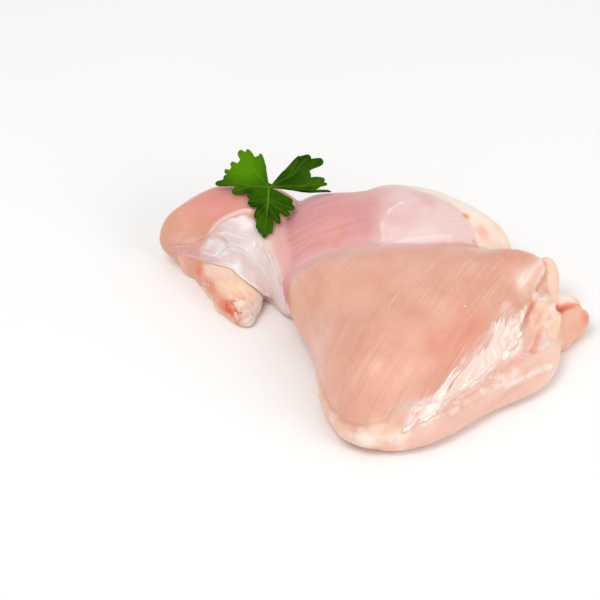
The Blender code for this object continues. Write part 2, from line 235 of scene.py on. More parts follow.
def closed_curve(outline, centre, theta):
    """Distance from the centre and edge height at each angle: a closed cubic curve through the outline."""
    points = np.array(outline, dtype=float)
    offset = points[:, :2] - np.array(centre)
    angle = np.arctan2(offset[:, 1], offset[:, 0])
    order = np.argsort(angle)
    angle = angle[order]
    value = np.column_stack((np.hypot(offset[:, 0], offset[:, 1]), points[:, 2]))[order]
    angle = np.concatenate((angle[-2:] - TURN, angle, angle[:2] + TURN))
    value = np.concatenate((value[-2:], value, value[:2]))
    slope = np.gradient(value, angle, axis=0)
    left = np.clip(np.searchsorted(angle, theta) - 1, 0, len(angle) - 2)
    span = (angle[left + 1] - angle[left])[:, None]
    t = (theta - angle[left])[:, None] / span
    start = (2 * t**3 - 3 * t**2 + 1) * value[left] + (t**3 - 2 * t**2 + t) * span * slope[left]
    end = (3 * t**2 - 2 * t**3) * value[left + 1] + (t**3 - t**2) * span * slope[left + 1]
    return (start + end).T


def lobe(centre, outline, crown, base=-SUNK, fall=(0.0, 0.0), fullness=2.6):
    """The numbers of one lobe, kept under their names."""
    return dict(centre=centre, outline=outline, crown=crown, base=base, fall=fall, fullness=fullness)


LOBES = {
    "main": lobe((12, 36), [
        (-20.5, 40.8, 8), (-16.8, 25, 6.5), (-13.7, 11, 5), (-9, 2.2, 4.5), (-1, -1.8, 4.5), (8, 1.5, 7),
        (15, 6.5, 10), (27, 17, 12), (36, 29, 13), (41.5, 38, 13.5), (45, 47, 14), (50, 57, 14),
        (51.3, 63, 15.3), (47.8, 66.8, 15.5), (38.5, 67.5, 15.5), (27, 69, 16.5), (8, 69, 17),
        (-12, 65.5, 16), (-26, 54, 13),
    ], crown=31, fall=(-0.03, 0.0), fullness=2.8),
    "fold": lobe((18, 28), [
        (-8, 6, 4), (-3, 0, 4), (5, -1.5, 3.5), (12.3, -0.2, 4), (19.4, 3.6, 4), (27.2, 9.9, 4),
        (39, 18.7, 4), (46.5, 24, 4), (53, 32.8, 4), (54.3, 39, 5), (52, 50, 6), (36, 58, 6), (8, 54, 6),
        (-10, 30, 5),
    ], crown=15.6, fullness=4.0),
    "side": lobe((48, 46), egg((48, 46), 26, 12.5, 78, 8), crown=15),
    "roll": lobe((50, 64), egg((50, 64), 14, 9, 85, 11), crown=18.5, base=2),
    "tip": lobe((55, 51), [
        (63.2, 52.8, 6), (61.6, 50, 6), (58.8, 47.2, 5), (56, 43.5, 4.5), (51, 42, 5), (48, 50, 6),
        (51, 58, 7), (56.5, 58.4, 7), (60.6, 56.4, 6.5),
    ], crown=10.5, fullness=2.8),
    "tip_flap": lobe((55.6, 56.6), egg((55.6, 56.6), 12, 6, -18, 8), crown=11.6, fullness=2.4),
    "pink": lobe((-9, 75), [
        (-30, 78, 12), (-28.5, 64, 11), (-24, 54, 12), (-10, 52, 12), (8, 60, 12), (12, 80, 12),
        (6, 96.5, 11), (-8, 97.5, 11), (-22, 97, 11),
    ], crown=26.4, fall=(0.12, 0.02), fullness=2.8),
    "pale": lobe((15, 76), [
        (-8, 62, 12), (-12, 80, 12), (-6, 94, 12), (7, 98.8, 11), (18, 97.5, 11), (27, 94, 10), (35, 89, 9),
        (40.5, 82, 9), (39, 72, 10), (30, 58, 12), (8, 54, 12),
    ], crown=29.8, fall=(-0.18, 0.0), fullness=2.2),
    "fat_pad": lobe((34, 79), egg((34, 79), 18, 12.5, 118, 9), crown=20),
    "tongue": lobe((-43, 88), [
        (-65.3, 86.3, 8.5), (-62, 92.5, 9), (-56.5, 98, 9), (-50, 102, 9), (-36, 102, 9), (-24, 99, 10),
        (-20, 84, 10), (-28, 74, 9), (-42, 74, 8), (-52, 79, 7.5), (-58.5, 82, 8), (-63, 83.8, 8),
    ], crown=24, fall=(0.02, 0.03)),
    "slope": lobe((-32, 73), [
        (-48, 76, 6), (-40, 68, 4), (-33.5, 67.5, 4), (-30, 63.5, 4), (-25, 57, 6), (-19, 53, 8),
        (-20, 70, 10), (-26, 84, 12), (-44, 88, 10),
    ], crown=20.5, fall=(0.1, 0.1), fullness=2.8),
    "flap": lobe((-44, 68), [
        (-52.5, 74, 3), (-50.2, 69, 2.5), (-48, 63, 2), (-44, 59, 1.5), (-39.5, 55, 1.5), (-37, 54.8, 1.5),
        (-35, 59.3, 2), (-33, 66, 4), (-37, 76, 6), (-46, 80, 6), (-51.5, 78.5, 5),
    ], crown=12.2, fall=(0.0, 0.3), fullness=2.8),
    "flap_root": lobe((-52, 80), [
        (-60, 82.5, 5), (-56, 78.5, 4), (-52, 73.5, 3), (-48, 72, 3), (-44, 76, 5), (-46, 84, 6),
        (-54, 87, 6), (-59.5, 86, 6),
    ], crown=14.0, fall=(0.0, 0.3), fullness=2.8),
}


def top_of(shape, x, y):
    """The lobe's crown at a place, which slopes by the fall from the crown at its centre."""
    return shape["crown"] + shape["fall"][0] * x + shape["fall"][1] * y


def drawn_out(shape, around=110, rows=44):
    """The ball drawn out: its reach meets the outline, and its height is the edge's plus the dome's share."""
    unit, faces = ball(around, rows)
    theta = np.arctan2(unit[:, 1], unit[:, 0])
    reach = np.minimum(np.hypot(unit[:, 0], unit[:, 1]), 1.0)
    radius, edge = closed_curve(shape["outline"], shape["centre"], theta)
    x = radius * reach * np.cos(theta)
    y = radius * reach * np.sin(theta)
    dome = (1 - reach ** shape["fullness"]) ** 0.5
    rise = np.where(unit[:, 2] >= 0, top_of(shape, x, y) - edge, shape["base"] - edge)
    return np.column_stack((x + shape["centre"][0], y + shape["centre"][1], edge + dome * rise)), faces


# The side of the skin's facets, and how often the skin is eased to take the voxels' steps away.
FACET = 0.56
EASING_STEPS = 14
meat = one_skin("meat", [drawn_out(shape) for shape in LOBES.values()], FACET)
points = eased(meat.data, EASING_STEPS)
print("meat:", len(meat.data.vertices), "points")

# %% [markdown]
# ## Which muscle a point belongs to
# Each muscle has its own colour and its own grain. A point on the skin lies on the lobe that it is
# deepest in, so each lobe gets a weight from that depth, and the weights blend over a millimetre or two
# where two lobes meet.

# %% Weigh the lobes
# The higher, the more sharply one lobe gives way to the next.
CRISPNESS = 30.0


def depth_in(shape, places):
    """How deep a place is in a lobe: 1 in its middle, 0 on its skin and below 0 outside it."""
    offset = places[:, :2] - np.array(shape["centre"])
    theta = np.arctan2(offset[:, 1], offset[:, 0])
    radius, edge = closed_curve(shape["outline"], shape["centre"], theta)
    reach = np.hypot(offset[:, 0], offset[:, 1]) / radius
    top = top_of(shape, offset[:, 0], offset[:, 1])
    room = np.where(places[:, 2] > edge, top - edge, edge - shape["base"])
    return 1 - reach ** shape["fullness"] - ((places[:, 2] - edge) / room) ** 2


depth = np.stack([depth_in(shape, points) for shape in LOBES.values()])
share = np.exp(CRISPNESS * (depth - depth.max(axis=0)))
weight = dict(zip(LOBES, share / share.sum(axis=0)))
print("share of the skin:", {name: round(float(part.mean()), 2) for name, part in weight.items()})

# %% [markdown]
# ## Noise, crumbs and lines
# Meat is uneven at every size. Smooth noise makes the slow swells and, stretched along the grain, the
# fibres. Where noise crosses zero it makes crests as sharp as those of wrinkled film. Creases, seams and
# ridges follow lines on the skin, and a place's distance from such a line shapes them.

# %% Make noise and measure distances


# Large odd numbers that mix a lattice place and a seed into one number, and the bits kept of it.
PLACE_MIXERS = np.array((374761393, 668265263, 1440662683))
SEED_MIXER = 974634777
LAST_MIXER = 1274126177
KEPT_BITS = 0xFFFF


def scatter(cell, seed):
    """A number from 0 to 1 for each whole place of a lattice, well mixed, always the same for one seed."""
    mixed = cell.astype(np.int64) @ PLACE_MIXERS + seed * SEED_MIXER
    mixed = (mixed ^ (mixed >> 13)) * LAST_MIXER
    return ((mixed ^ (mixed >> 16)) & KEPT_BITS) / KEPT_BITS


def noise(places, size, seed, octaves=2):
    """Smooth noise from -1 to 1, of a size in millimetres.

    Lattice numbers are blended by 3t^2 - 2t^3, and each octave is half as large and half as high.
    """
    places = places / np.asarray(size, dtype=float)
    total, height, sum_of_heights = 0.0, 1.0, 0.0
    for octave in range(octaves):
        whole = np.floor(places)
        t = places - whole
        t = t * t * (3 - 2 * t)
        value = 0.0
        for corner in np.ndindex(2, 2, 2):
            part = np.prod(np.where(np.array(corner) == 1, t, 1 - t), axis=1)
            value = value + part * scatter(whole + corner, seed + octave)
        total = total + height * (2 * value - 1)
        sum_of_heights += height
        places, height = places * 2 + 17.3, height / 2
    return total / sum_of_heights


def crests(places, size, seed, sharpness=3.0):
    """Thin crests from 0 to 1 where the noise crosses zero: 1 - sharpness |noise|, squared."""
    return np.clip(1 - sharpness * np.abs(noise(places, size, seed)), 0, 1) ** 2


def crumbs(places, size, seed):
    """Round grains from 0 to 1: the nearer to the closest of a jittered lattice of points, the higher."""
    places = places / size
    whole = np.floor(places)
    nearest = np.full(len(places), 9.0)
    for corner in np.ndindex(3, 3, 3):
        cell = whole + corner - 1
        jitter = np.stack([scatter(cell, seed + k) for k in range(3)], axis=1)
        nearest = np.minimum(nearest, ((cell + jitter - places) ** 2).sum(axis=1))
    return np.clip(1 - nearest, 0, 1)


def step(value, low, high):
    """0 at low, 1 at high and a smooth curve between them; low may be the larger."""
    t = np.clip((value - low) / (high - low), 0, 1)
    return t * t * (3 - 2 * t)


def to_line(places, line):
    """Distance to a line through points, how far along it the nearest one is, and on which side in plan."""
    line = np.array(line, dtype=float)
    best = np.full(len(places), 1e9)
    along = np.zeros(len(places))
    side = np.zeros(len(places))
    start = 0.0
    for a, b in zip(line[:-1], line[1:]):
        run = b - a
        length = np.linalg.norm(run)
        share = np.clip((places - a) @ run / length**2, 0, 1)
        away = places - a - share[:, None] * run
        distance = np.linalg.norm(away, axis=1)
        closer = distance < best
        best = np.where(closer, distance, best)
        along = np.where(closer, start + share * length, along)
        side = np.where(closer, np.sign(run[0] * away[:, 1] - run[1] * away[:, 0]), side)
        start += length
    return best, along, side


def evenly(line, spacing):
    """The line with points at even distances, near the spacing."""
    line = np.array(line, dtype=float)
    reach = np.concatenate(([0], np.cumsum(np.linalg.norm(np.diff(line, axis=0), axis=1))))
    marks = np.linspace(0, reach[-1], max(2, round(reach[-1] / spacing)))
    return np.column_stack([np.interp(marks, reach, column) for column in line.T])


def tree_of(made):
    """The object's faces, sorted so that the nearest place on them is found fast."""
    return BVHTree.FromObject(made, bpy.context.evaluated_depsgraph_get())


def nearest(tree, place):
    """The nearest place on the skin, in millimetres on the drawing, and the direction it faces there."""
    spot, normal, _, _ = tree.find_nearest(Vector(in_metres(place)))
    return np.array(spot) / MM + ORIGIN, np.array(normal)


# %% [markdown]
# ## Lines on the meat
# These are the seams, creases, ridges and torn edges that the eye picks out. Each is a line through a few
# places on the drawing, moved onto the skin.

# %% Draw the lines
LINES = {
    # The front edge, where the muscle's rim turns under.
    "front_rim": [(-15.4, 18, 9.9), (-14.4, 14.4, 9.9), (-11.4, 6.9, 9), (-8.6, 2.7, 9.3), (-3.8, 0, 10.7),
                  (2.7, 0, 12.1)],
    # The membrane's fold on the pale muscle, and where the fat along its back edge begins.
    "fold_ridge": [(2.2, 63.7, 27), (1.9, 70.1, 29.4), (5.2, 74.5, 30.4), (8.1, 76.3, 30.5)],
    "fat_border": [(2, 90.5, 26.5), (9.4, 87.5, 28), (13.3, 84.5, 28.5), (17.7, 83, 28), (22.2, 80.5, 27.3),
                   (25.2, 77.5, 26.5), (27.5, 75, 26), (29.5, 71.5, 25), (31.5, 67.5, 24.5)],
    # Folds where the large muscle presses on the pink and the pale one.
    "pressed": [(-11.9, 64.3, 25), (-10.4, 67.6, 25.7), (-9.3, 71.7, 26.2)],
    "tight_film": [(2, 61.5, 27.5), (13, 63.6, 28), (22, 65.5, 27.5)],
    # The narrow end: the membrane's crease, its lower edge, the strip of fat and the lip of the flap.
    "tongue_crease": [(-50.1, 79.4, 15.2), (-48.6, 79.9, 17.9), (-46.1, 80.7, 20.7), (-42.8, 81.3, 22.4),
                      (-39.5, 82.3, 23.2), (-37.4, 82.4, 23.2)],
    "film_edge": [(-51.3, 73.5, 9.6), (-46.5, 69.7, 12.3), (-43.2, 68.3, 12.3), (-39, 64.8, 10.5),
                  (-36.3, 63.5, 8.5), (-34, 64.1, 6.2)],
    "fat_strip": [(-33.5, 76, 21.5), (-32, 71.5, 20), (-30, 67, 17.8), (-28, 63, 16)],
    "flap_lip": [(-53, 74.5, 6), (-50.4, 69.5, 5.2), (-48.4, 65.8, 5.5), (-44, 59.5, 4)],
    "flap_white": [(-33.7, 63.8, 5.6), (-34.3, 62.1, 3.9), (-35.2, 59.1, 3.4), (-36.8, 55.6, 2.8)],
    # The seam where the large muscle lies on the pink and the pale one.
    "seam": [(-24, 56, 20), (-16, 58, 25), (-8, 60, 27.5), (2, 61.5, 28), (13, 63.2, 27.5)],
    # The broad end: the nose's groove, the torn edge with the groove under it, the side's folds, the slit.
    "nose_groove": [(50.2, 63.7, 18.7), (50.4, 59.2, 17.4), (47.4, 52.1, 17.9)],
    "nose_white": [(46.5, 49.2, 17.3), (48.6, 50.1, 16.9), (51.3, 54.5, 13.4)],
    "cut": [(44.5, 46.5, 17.3), (43, 43.3, 17.2), (41.5, 36.4, 17.5), (39.5, 31.5, 16.5), (36.1, 25.2, 15.8),
            (32, 20.3, 15.5), (28, 16.3, 13.8), (22.7, 11.2, 14.2), (18.2, 7.4, 13.5), (12.5, 3.9, 12),
            (8, 0.5, 9.1), (4.6, -0.9, 6.5)],
    "groove_below": [(45.6, 30.8, 12.7), (40.8, 25.8, 13.2), (35.5, 21.5, 13.1), (28.5, 15.1, 12),
                     (22.8, 10.5, 12.3), (15.9, 4.7, 11.3), (10.3, 1, 9.4)],
    "low_crumbs": [(40, 22.5, 11.2), (37.2, 20.3, 11.2), (34.3, 18.5, 11.2), (27.4, 12.5, 10.5),
                   (18.2, 5, 10.3)],
    "low_ridge": [(37.5, 18.6, 9.3), (41.3, 21.6, 9.3), (43.7, 23.4, 9.2), (46.7, 26.2, 9.1),
                  (50.4, 29.8, 7.5)],
    "side_fold": [(47.8, 46.6, 16.8), (46.6, 41.9, 14.6), (44.6, 35.7, 13.8), (43.3, 30.6, 13.6)],
    "side_crumbs": [(51.6, 48, 14.4), (50.6, 44, 14.2), (49.4, 40.2, 13.9), (50.5, 35.7, 10.8),
                    (46.8, 31.4, 12.2)],
    "slit": [(52.2, 49.1, 12), (54.1, 52, 10.4), (56.6, 53.9, 10), (59.6, 55.2, 9.2), (61, 55.4, 8.6)],
    "crevice": [(47.4, 38.5, 13.8), (47, 36.5, 13.1), (46, 32.9, 12.9), (45.1, 30.9, 11.8)],
    # Along the nose's top: where its highlight is painted.
    "painted_nose_highlight": [(42.5, 49.1, 23), (45, 52.6, 22.1), (47.5, 56.4, 20.8), (49.1, 60.1, 20.1)],
    # Where silvery film shows inside the torn edge.
    "silvery": [(37.5, 35.6, 21), (33.3, 27.1, 18.9), (29.7, 21.2, 16.8), (25.6, 16.3, 16.1),
                (22.8, 13.3, 15)],
    # The dark line where the fat pad meets the large muscle.
    "pad_crease": [(29.6, 67.9, 24), (33, 65, 24.5), (36, 64, 24.5)],
}
LINE_SPACING = 1.5
# How far the lines' edges wander, so that none of them is an even band.
WOBBLE = 0.4


def laid_on(tree, line, spacing):
    """The line's places, evenly spaced and moved onto the skin."""
    return np.array([nearest(tree, place)[0] for place in evenly(line, spacing)])


tree_of_skin = tree_of(meat)
laid = {name: laid_on(tree_of_skin, line, LINE_SPACING) for name, line in LINES.items()}
wobble = WOBBLE * noise(points, 3, 21)
near = {name: to_line(points, line) for name, line in laid.items()}
print("lines:", len(near))


def along_line(name, width):
    """1 on the line, falling to 0 at the width, in millimetres, by a smooth curve that wobbles a little."""
    return step(near[name][0] + wobble, width, 0)


# %% [markdown]
# ## Grain
# Muscle fibres lie side by side along each muscle, so each lobe has a heading in plan. Round the left wall
# of the large muscle they lean the other way. A place's grain is how far it lies along and across the
# fibres, and the streaks say how much they show there.

# %% Lay the grain
# Heading in degrees from the right towards the back, and how strongly the fibres show.
GRAIN = {
    "main": (62, 0.34), "fold": (42, 0.7), "side": (85, 0.5), "roll": (80, 0.1), "tip": (60, 0.3),
    "tip_flap": (-18, 0.2), "pink": (17, 0.55), "pale": (20, 0.2), "fat_pad": (118, 0.1),
    "tongue": (40, 0.12), "slope": (-38, 0.2), "flap": (-50, 0.15), "flap_root": (-50, 0.15),
}
# How much of the height counts along and across the fibres, and as their third coordinate.
LEAN_ALONG, LEAN_ACROSS, HEIGHT_SHARE = -0.4, -0.25, 0.2
# The left wall lies left of a slanting line: its x at y = 30, how far x moves for each millimetre of y, and
# the wall's own heading, strength and lean.
WALL_X, WALL_Y, WALL_SLANT = -11, 30, 0.25
WALL_HEADING, WALL_STRENGTH, WALL_LEAN = 112, 0.45, 0.3
# How far apart the lobes' patterns are taken, so that no two of them show the same streaks.
APART = 40


def grain_of(places, heading, lean=LEAN_ACROSS):
    """Along and across the fibres in plan, with shares of the height, so that they run on down the walls."""
    x, y, z = places.T
    turn = math.radians(heading)
    along = x * math.cos(turn) + y * math.sin(turn)
    across = x * math.sin(turn) - y * math.cos(turn)
    return np.column_stack((along + LEAN_ALONG * z, across + lean * z, HEIGHT_SHARE * z))


lobe_names = list(LOBES)
strongest = np.argmax(depth, axis=0)
grain = np.zeros_like(points)
for number, (name, (heading, _)) in enumerate(GRAIN.items()):
    here = strongest == lobe_names.index(name)
    grain[here] = grain_of(points[here], heading) + APART * number
past_wall = points[:, 0] - WALL_X - WALL_SLANT * (points[:, 1] - WALL_Y)
left_wall = (strongest == lobe_names.index("main")) & (past_wall < 0)
grain[left_wall] = grain_of(points[left_wall], WALL_HEADING, WALL_LEAN) - APART
streaks = sum(strength * weight[name] for name, (_, strength) in GRAIN.items())
streaks = np.where(left_wall, WALL_STRENGTH, streaks) * (1 - weight["main"] * step(np.abs(past_wall), 3, 0.5))
streaks = streaks * (0.55 + 0.9 * noise(points, 8, 14))
print("points on the left wall:", int(left_wall.sum()))

# %% [markdown]
# ## Relief
# The relief stands on the smooth skin along its normals: slow swells, fibres, lumps in the fat, crumbs
# where it is torn, and the lines above as grooves and ridges. It fades to nothing at the resting face.
# Each call of the noise gives its size in millimetres, then its seed. Three sizes are those along, across
# and into the grain.

# %% Raise the relief
# How high the fibres and the lumps stand on each lobe, in millimetres.
FIBRE_HEIGHTS = {
    "main": 0.09, "fold": 0.25, "side": 0.2, "tip": 0.15, "pink": 0.14, "tongue": 0.1, "pale": 0.08,
}
LUMP_HEIGHTS = {
    "flap": 0.5, "flap_root": 0.3, "fat_pad": 0.35, "roll": 0.15, "tip_flap": 0.4, "side": 0.3, "fold": 0.15,
}
# How wide each line is, and how high it stands or how deep it lies.
LINE_HEIGHTS = {
    "front_rim": (1.5, -0.8), "fold_ridge": (1.3, 0.25), "pressed": (2.0, -0.4), "tight_film": (1.2, 0.2),
    "tongue_crease": (1.8, 0.4), "film_edge": (1.6, 0.3), "flap_lip": (1.8, 0.5), "slit": (2.2, -1.0),
    "nose_groove": (1.6, -0.8), "groove_below": (2.0, -0.9), "low_ridge": (1.8, 0.45),
    "side_fold": (1.5, -0.8), "side_crumbs": (1.6, -0.4), "crevice": (1.6, -0.9), "pad_crease": (1.0, -0.4),
    "cut": (2.6, 0.6),
}
CREASE_DEPTH = 0.8
# The relief begins at the first of these heights over the table and is whole at the second.
RELIEF_FROM, RELIEF_WHOLE = 0.3, 3.0


def by_lobe(heights):
    """Each point's value: the lobes' values blended by their weights."""
    return sum(value * weight[name] for name, value in heights.items())


def patch(centre, radius, soft=0.8):
    """1 round a place, falling to 0 at the radius with an uneven edge."""
    away = np.linalg.norm(points - np.array(centre, dtype=float), axis=1) / radius
    return step(away + 0.25 * noise(points, radius / 2, 12), 1, 1 - soft)


swell = 0.35 * noise(points, 14, 1) + 0.15 * noise(grain, (30, 5, 9), 2)
fibres = noise(grain, (16, 1.8, 6), 3) * by_lobe(FIBRE_HEIGHTS)
lumps = noise(points, 3.4, 5, octaves=3) * by_lobe(LUMP_HEIGHTS)
torn = 0.6 * step(near["groove_below"][0], 4.5, 1) + 0.6 * patch((49.5, 38, 13), 7)
torn_lumps = (crumbs(points, 1.9, 31) - 0.4) * 0.6 * np.clip(torn, 0, 1)
# Creases between the lumps of the flap run down it, and crowd at its end.
flap_end = patch((-40.8, 58, 4.8), 7.5, 1.0)
creased = 0.5 * crests(grain, (9, 2.6, 3), 32, 2.5) * (weight["flap"] + 0.6 * weight["flap_root"])
creased = creased + crests(points, 2.4, 33, 2.5) * flap_end
wrinkled = 0.35 * crests(points, (4, 2.5, 2.5), 8) * (patch((-25, 60.5, 18.5), 6) + patch((-31, 69, 16), 7))
folded = 0.9 * crests(grain, (9, 2.6, 5), 16, 2.0) - 0.3
folded = folded * (weight["side"] + 0.5 * weight["tip"] * step(points[:, 0], 54, 50))
humps = 0.6 * patch((9, 76, 30), 8, 1.0) - 0.5 * patch((-3, 70, 27), 6, 1.0)
humps = humps + 0.4 * patch((-14, 74, 26), 6, 1.0)
# Below the front crease the muscle's rim is a ragged lip of fat.
lip = step(near["front_rim"][0], 7, 3) * step(points[:, 2], 10.5, 8.5)
ragged_lip = lip * (0.3 + 0.8 * noise(points, 2.6, 18, octaves=3))
lines = sum(height * along_line(name, width) for name, (width, height) in LINE_HEIGHTS.items())
relief = swell + fibres + lumps + torn_lumps - CREASE_DEPTH * creased
relief = relief + wrinkled + folded + humps + ragged_lip + lines
relief = relief * step(points[:, 2], RELIEF_FROM, RELIEF_WHOLE)
points = raised(meat.data, points, relief, 0)
print("relief in mm:", round(float(relief.min()), 2), "to", round(float(relief.max()), 2))

# %% [markdown]
# ## What covers the muscle
# Cream fat, milky membrane, white threads, redder flesh, warmer flesh, yellow spots and blood marks each get
# a mask from 0 to 1, which the material turns into colour and shine. A mask adds up shares of whole lobes,
# of lines and of round patches, which stand in tables. Where a cover has its own edge, as the fat that ends
# in a ragged border has, its shape is worked out first.

# %% Shape the edges of the covers
# How far along the cut, and half the width to which it gapes there.
GAPE = (
    (0, 0), (4, 0.5), (8, 1.6), (12, 2.5), (17, 2.7), (23, 1.4), (30, 0.9), (38, 0.8), (46, 1.1), (50, 2.0),
    (54, 2.7), (57, 2.2), (59.5, 0.8), (62, 0),
)
# How far along the slit, and how far from it the blood reaches there.
SLIT_GAPE = ((0, 1.2), (2, 2.6), (5, 1.8), (10, 0.7))


def by_table(where, table):
    """The table's second number at each first number, with straight runs between its rows."""
    return np.interp(where, *zip(*table))


x, y, z = points.T
uneven = noise(points, 2.5, 11, octaves=3)
blotchy = step(noise(points, 2.4, 23), -0.1, 0.35)
strands = step(noise(grain, (14, 1.0, 4), 53), -0.2, 0.35)
hollow = np.clip(1.3 * creased, 0, 1)
back_muscles = weight["pink"] + weight["pale"]

from_strip, _, side_of_strip = near["fat_strip"]
rosy_side = step(from_strip * side_of_strip + uneven, -0.5, 1.5)
milky = step(x + 7 * noise(points, 7, 13), -10, 8) * back_muscles
# Less milky film left of the fold's ridge, so the pink there shows darker: painted shade beside the ridge.
milky = milky * (1 - 0.7 * patch((-3, 72, 28), 8, 1.0)) * (1 - 0.4 * step(noise(points, 8, 19), 0.1, 0.5))
milky = milky * (1 - 0.35 * patch((9, 69, 29), 9, 1.0))
from_border, _, side_of_border = near["fat_border"]
border_fat = step(from_border * side_of_border + 0.8 * uneven, -0.8, 1.2)
border_fat = border_fat * step(from_border + 5 * noise(points, 9, 17), 22, 6)
border_fat = border_fat * back_muscles * step(x + 4 * uneven, -14, 2)
rim_fat = step(near["front_rim"][0], 9, 5) * step(z + 1.2 * uneven, 9.5, 7.5)
rim_fat = rim_fat * (weight["main"] + weight["fold"])
back_rim = step(z + 1.5 * uneven, 8, 4) * step(y, 84, 92)
back_rim = back_rim * (back_muscles + weight["tongue"] + weight["slope"])
silvery = step(near["silvery"][0] + 2 * uneven, 6, 1.5)
from_cut, along_cut, _ = near["cut"]
torn_band = step(from_cut - 1.2 * by_table(along_cut, GAPE) + 1.5 * uneven, 1.2, -0.8)
from_slit, along_slit, _ = near["slit"]
slit_width = by_table(along_slit, SLIT_GAPE)
in_slit = (0.95 - 0.35 * step(along_slit, 3, 8)) * step(from_slit + wobble, slit_width, 0.3 * slit_width)
print("fat along the border covers", round(float(border_fat.mean()), 3))

# %% Fill the tables of the covers
# Each cover's share of whole lobes.
ON_LOBES = {
    "fat": {"flap": 0.6, "flap_root": 0.3, "fat_pad": 1, "roll": 0.7, "side": 0.7, "tip_flap": 0.5,
            "fold": 0.2, "tip": 0.3},
    "film": {"fold": 0.25},
    "white": {"slope": 0.15},
    "pink": {"pink": 1, "pale": 1, "fold": 0.2},
    "warm": {"tip": 0.3, "flap_root": 0.4},
}
# Each cover's lines: the name, how far it reaches from the line, and its share.
ON_LINES = {
    # The fat cover along the nose's top is a painted highlight.
    "fat": (("fat_strip", 3.5, 0.3), ("painted_nose_highlight", 7, 0.45)),
    "film": (("seam", 9, 0.4),),
    "white": (("tongue_crease", 1.3, 0.5), ("tight_film", 1.2, 0.25), ("nose_white", 2.2, 0.7),
              ("low_ridge", 1.4, 0.6), ("flap_white", 4.5, 1)),
    "pink": (("seam", 10, 0.35),),
    "warm": (("side_crumbs", 3.5, 0.7), ("groove_below", 2.2, 0.6), ("flap_lip", 4, 0.5),
             ("crevice", 2.5, 0.7), ("nose_groove", 1.4, 0.6), ("side_fold", 2.0, 0.5)),
    "spot": (("flap_lip", 5, 0.75), ("pad_crease", 1.0, 0.7), ("pressed", 2.0, 0.4)),
    "blood": (("flap_lip", 2.5, 0.2), ("crevice", 1.4, 0.35)),
}
# Each cover's round patches: the share, the middle, the radius and how soft the edge is.
ON_PATCHES = {
    "fat": ((0.7, (-20, 94, 18), 7, 0.8), (0.4, (-40, 62, 8.5), 7, 1.0), (0.6, (4.5, -1, 6), 8, 1.0),
            (0.5, (0, 0, 10.5), 5, 1.0)),
    # The film patches on the large muscle's left wall are a painted highlight, whitish and soft.
    "film": ((0.25, (-17, 33, 13), 15, 1.0), (0.2, (-14, 20, 12), 10, 1.0)),
    # Of the white patches, the one on the fat pad at (31.5, 67, 24.5) and the faint one on the pale muscle's
    # hump at (13, 80, 30) are painted highlights.
    "white": ((0.4, (38, 74, 19), 5, 1.0), (0.8, (56, 57, 12), 5, 1.0), (0.35, (51, 45, 13), 6, 1.0),
              (0.05, (13, 80, 30), 7, 1.0), (0.6, (31.5, 67, 24.5), 3.5, 0.8), (0.5, (-3, -0.3, 8), 4, 0.8),
              (0.35, (32, 62, 26.5), 7, 1.0)),
    "warm": ((0.5, (18.5, 17, 25), 10, 1.0), (0.6, (27, 25, 25.5), 11, 1.0), (0.5, (43, 58, 24), 11, 1.0),
             (0.8, (2.4, -1.2, 4), 6, 0.8), (0.4, (-4.6, 76.6, 27.3), 7, 0.8), (0.5, (-8, 67, 26), 4, 0.8),
             (0.5, (-53, 77, 9), 9, 0.8), (0.55, (-42, 62, 7.5), 8.5, 1.0), (0.4, (-46, 67, 9), 6, 1.0),
             (0.6, (45, 46, 16.5), 3.5, 0.8), (0.5, (62, 51, 8), 4, 1.0)),
    "spot": ((1, (26.7, 76.2, 25.9), 1.8, 0.8), (0.5, (31.5, 73.1, 22.5), 4, 0.8),
             (0.6, (50.6, 60, 18), 1.6, 0.8), (0.5, (3.5, -1.4, 4.5), 6, 1.0), (0.35, (-52, 76, 8), 6, 1.0),
             (0.5, (45, 46, 16.5), 4, 1.0)),
    "blood": ((0.15, (-46, 88, 22), 14, 1.0), (0.3, (-54, 75, 6), 7, 1.0), (0.85, (-42.5, 55.6, 4), 4.5, 1.0),
              (0.4, (-45.8, 59.1, 5), 4.5, 0.8), (0.2, (-48.6, 66.4, 6), 5, 1.0),
              (0.15, (45, 46, 16.5), 3, 0.8), (0.5, (53.5, 48.5, 12), 3, 0.8), (0.4, (62, 51, 8), 3, 0.8),
              (0.35, (-25, 54, 13), 6, 0.8), (0.2, (-49.5, 68, 5), 5, 1.0),
              (0.6, (47.4, 52.1, 17.9), 1.3, 0.8)),
}
print("patches:", sum(len(patches) for patches in ON_PATCHES.values()))

# %% Paint the masks
# What the tables can't say: the covers with an edge of their own, and lines that come and go.
tongue_warmth = 0.7 * weight["tongue"]
fat_below = 0.8 * rim_fat * step(x, -9, -2) + 0.3 * rim_fat + 0.3 * weight["fold"] * step(x, 38, 52)
film_shreds = patch((-48, 99, 14), 14, 1.0) * step(noise(grain, (12, 2, 4), 24), -0.3, 0.3)
white_lines = 0.6 * along_line("flap_lip", 1.5) * step(uneven, -0.5, 0.1)
white_lines = white_lines + (0.5 * along_line("fold_ridge", 0.9) * step(uneven, -0.4, 0.2)
                             * step(near["fold_ridge"][1], -3, 7))
white_lines = white_lines + 0.6 * along_line("side_crumbs", 1.6) * step(uneven, 0, 0.3)
# Pale streaks along the nose's top: painted highlight.
white_lines = white_lines + 0.55 * along_line("painted_nose_highlight", 4.5) * strands
white_lines = white_lines + 0.4 * along_line("low_crumbs", 3) * step(uneven, 0, 0.4)
white_rims = 0.3 * lip * step(uneven, 0, 0.4) + 0.6 * patch((11, 4, 12.5), 6, 1.0) * step(uneven, -0.4, 0.1)
white_rims = white_rims + 0.65 * torn_band + 0.3 * back_rim * blotchy + 0.3 * flap_end * (1 - blotchy)
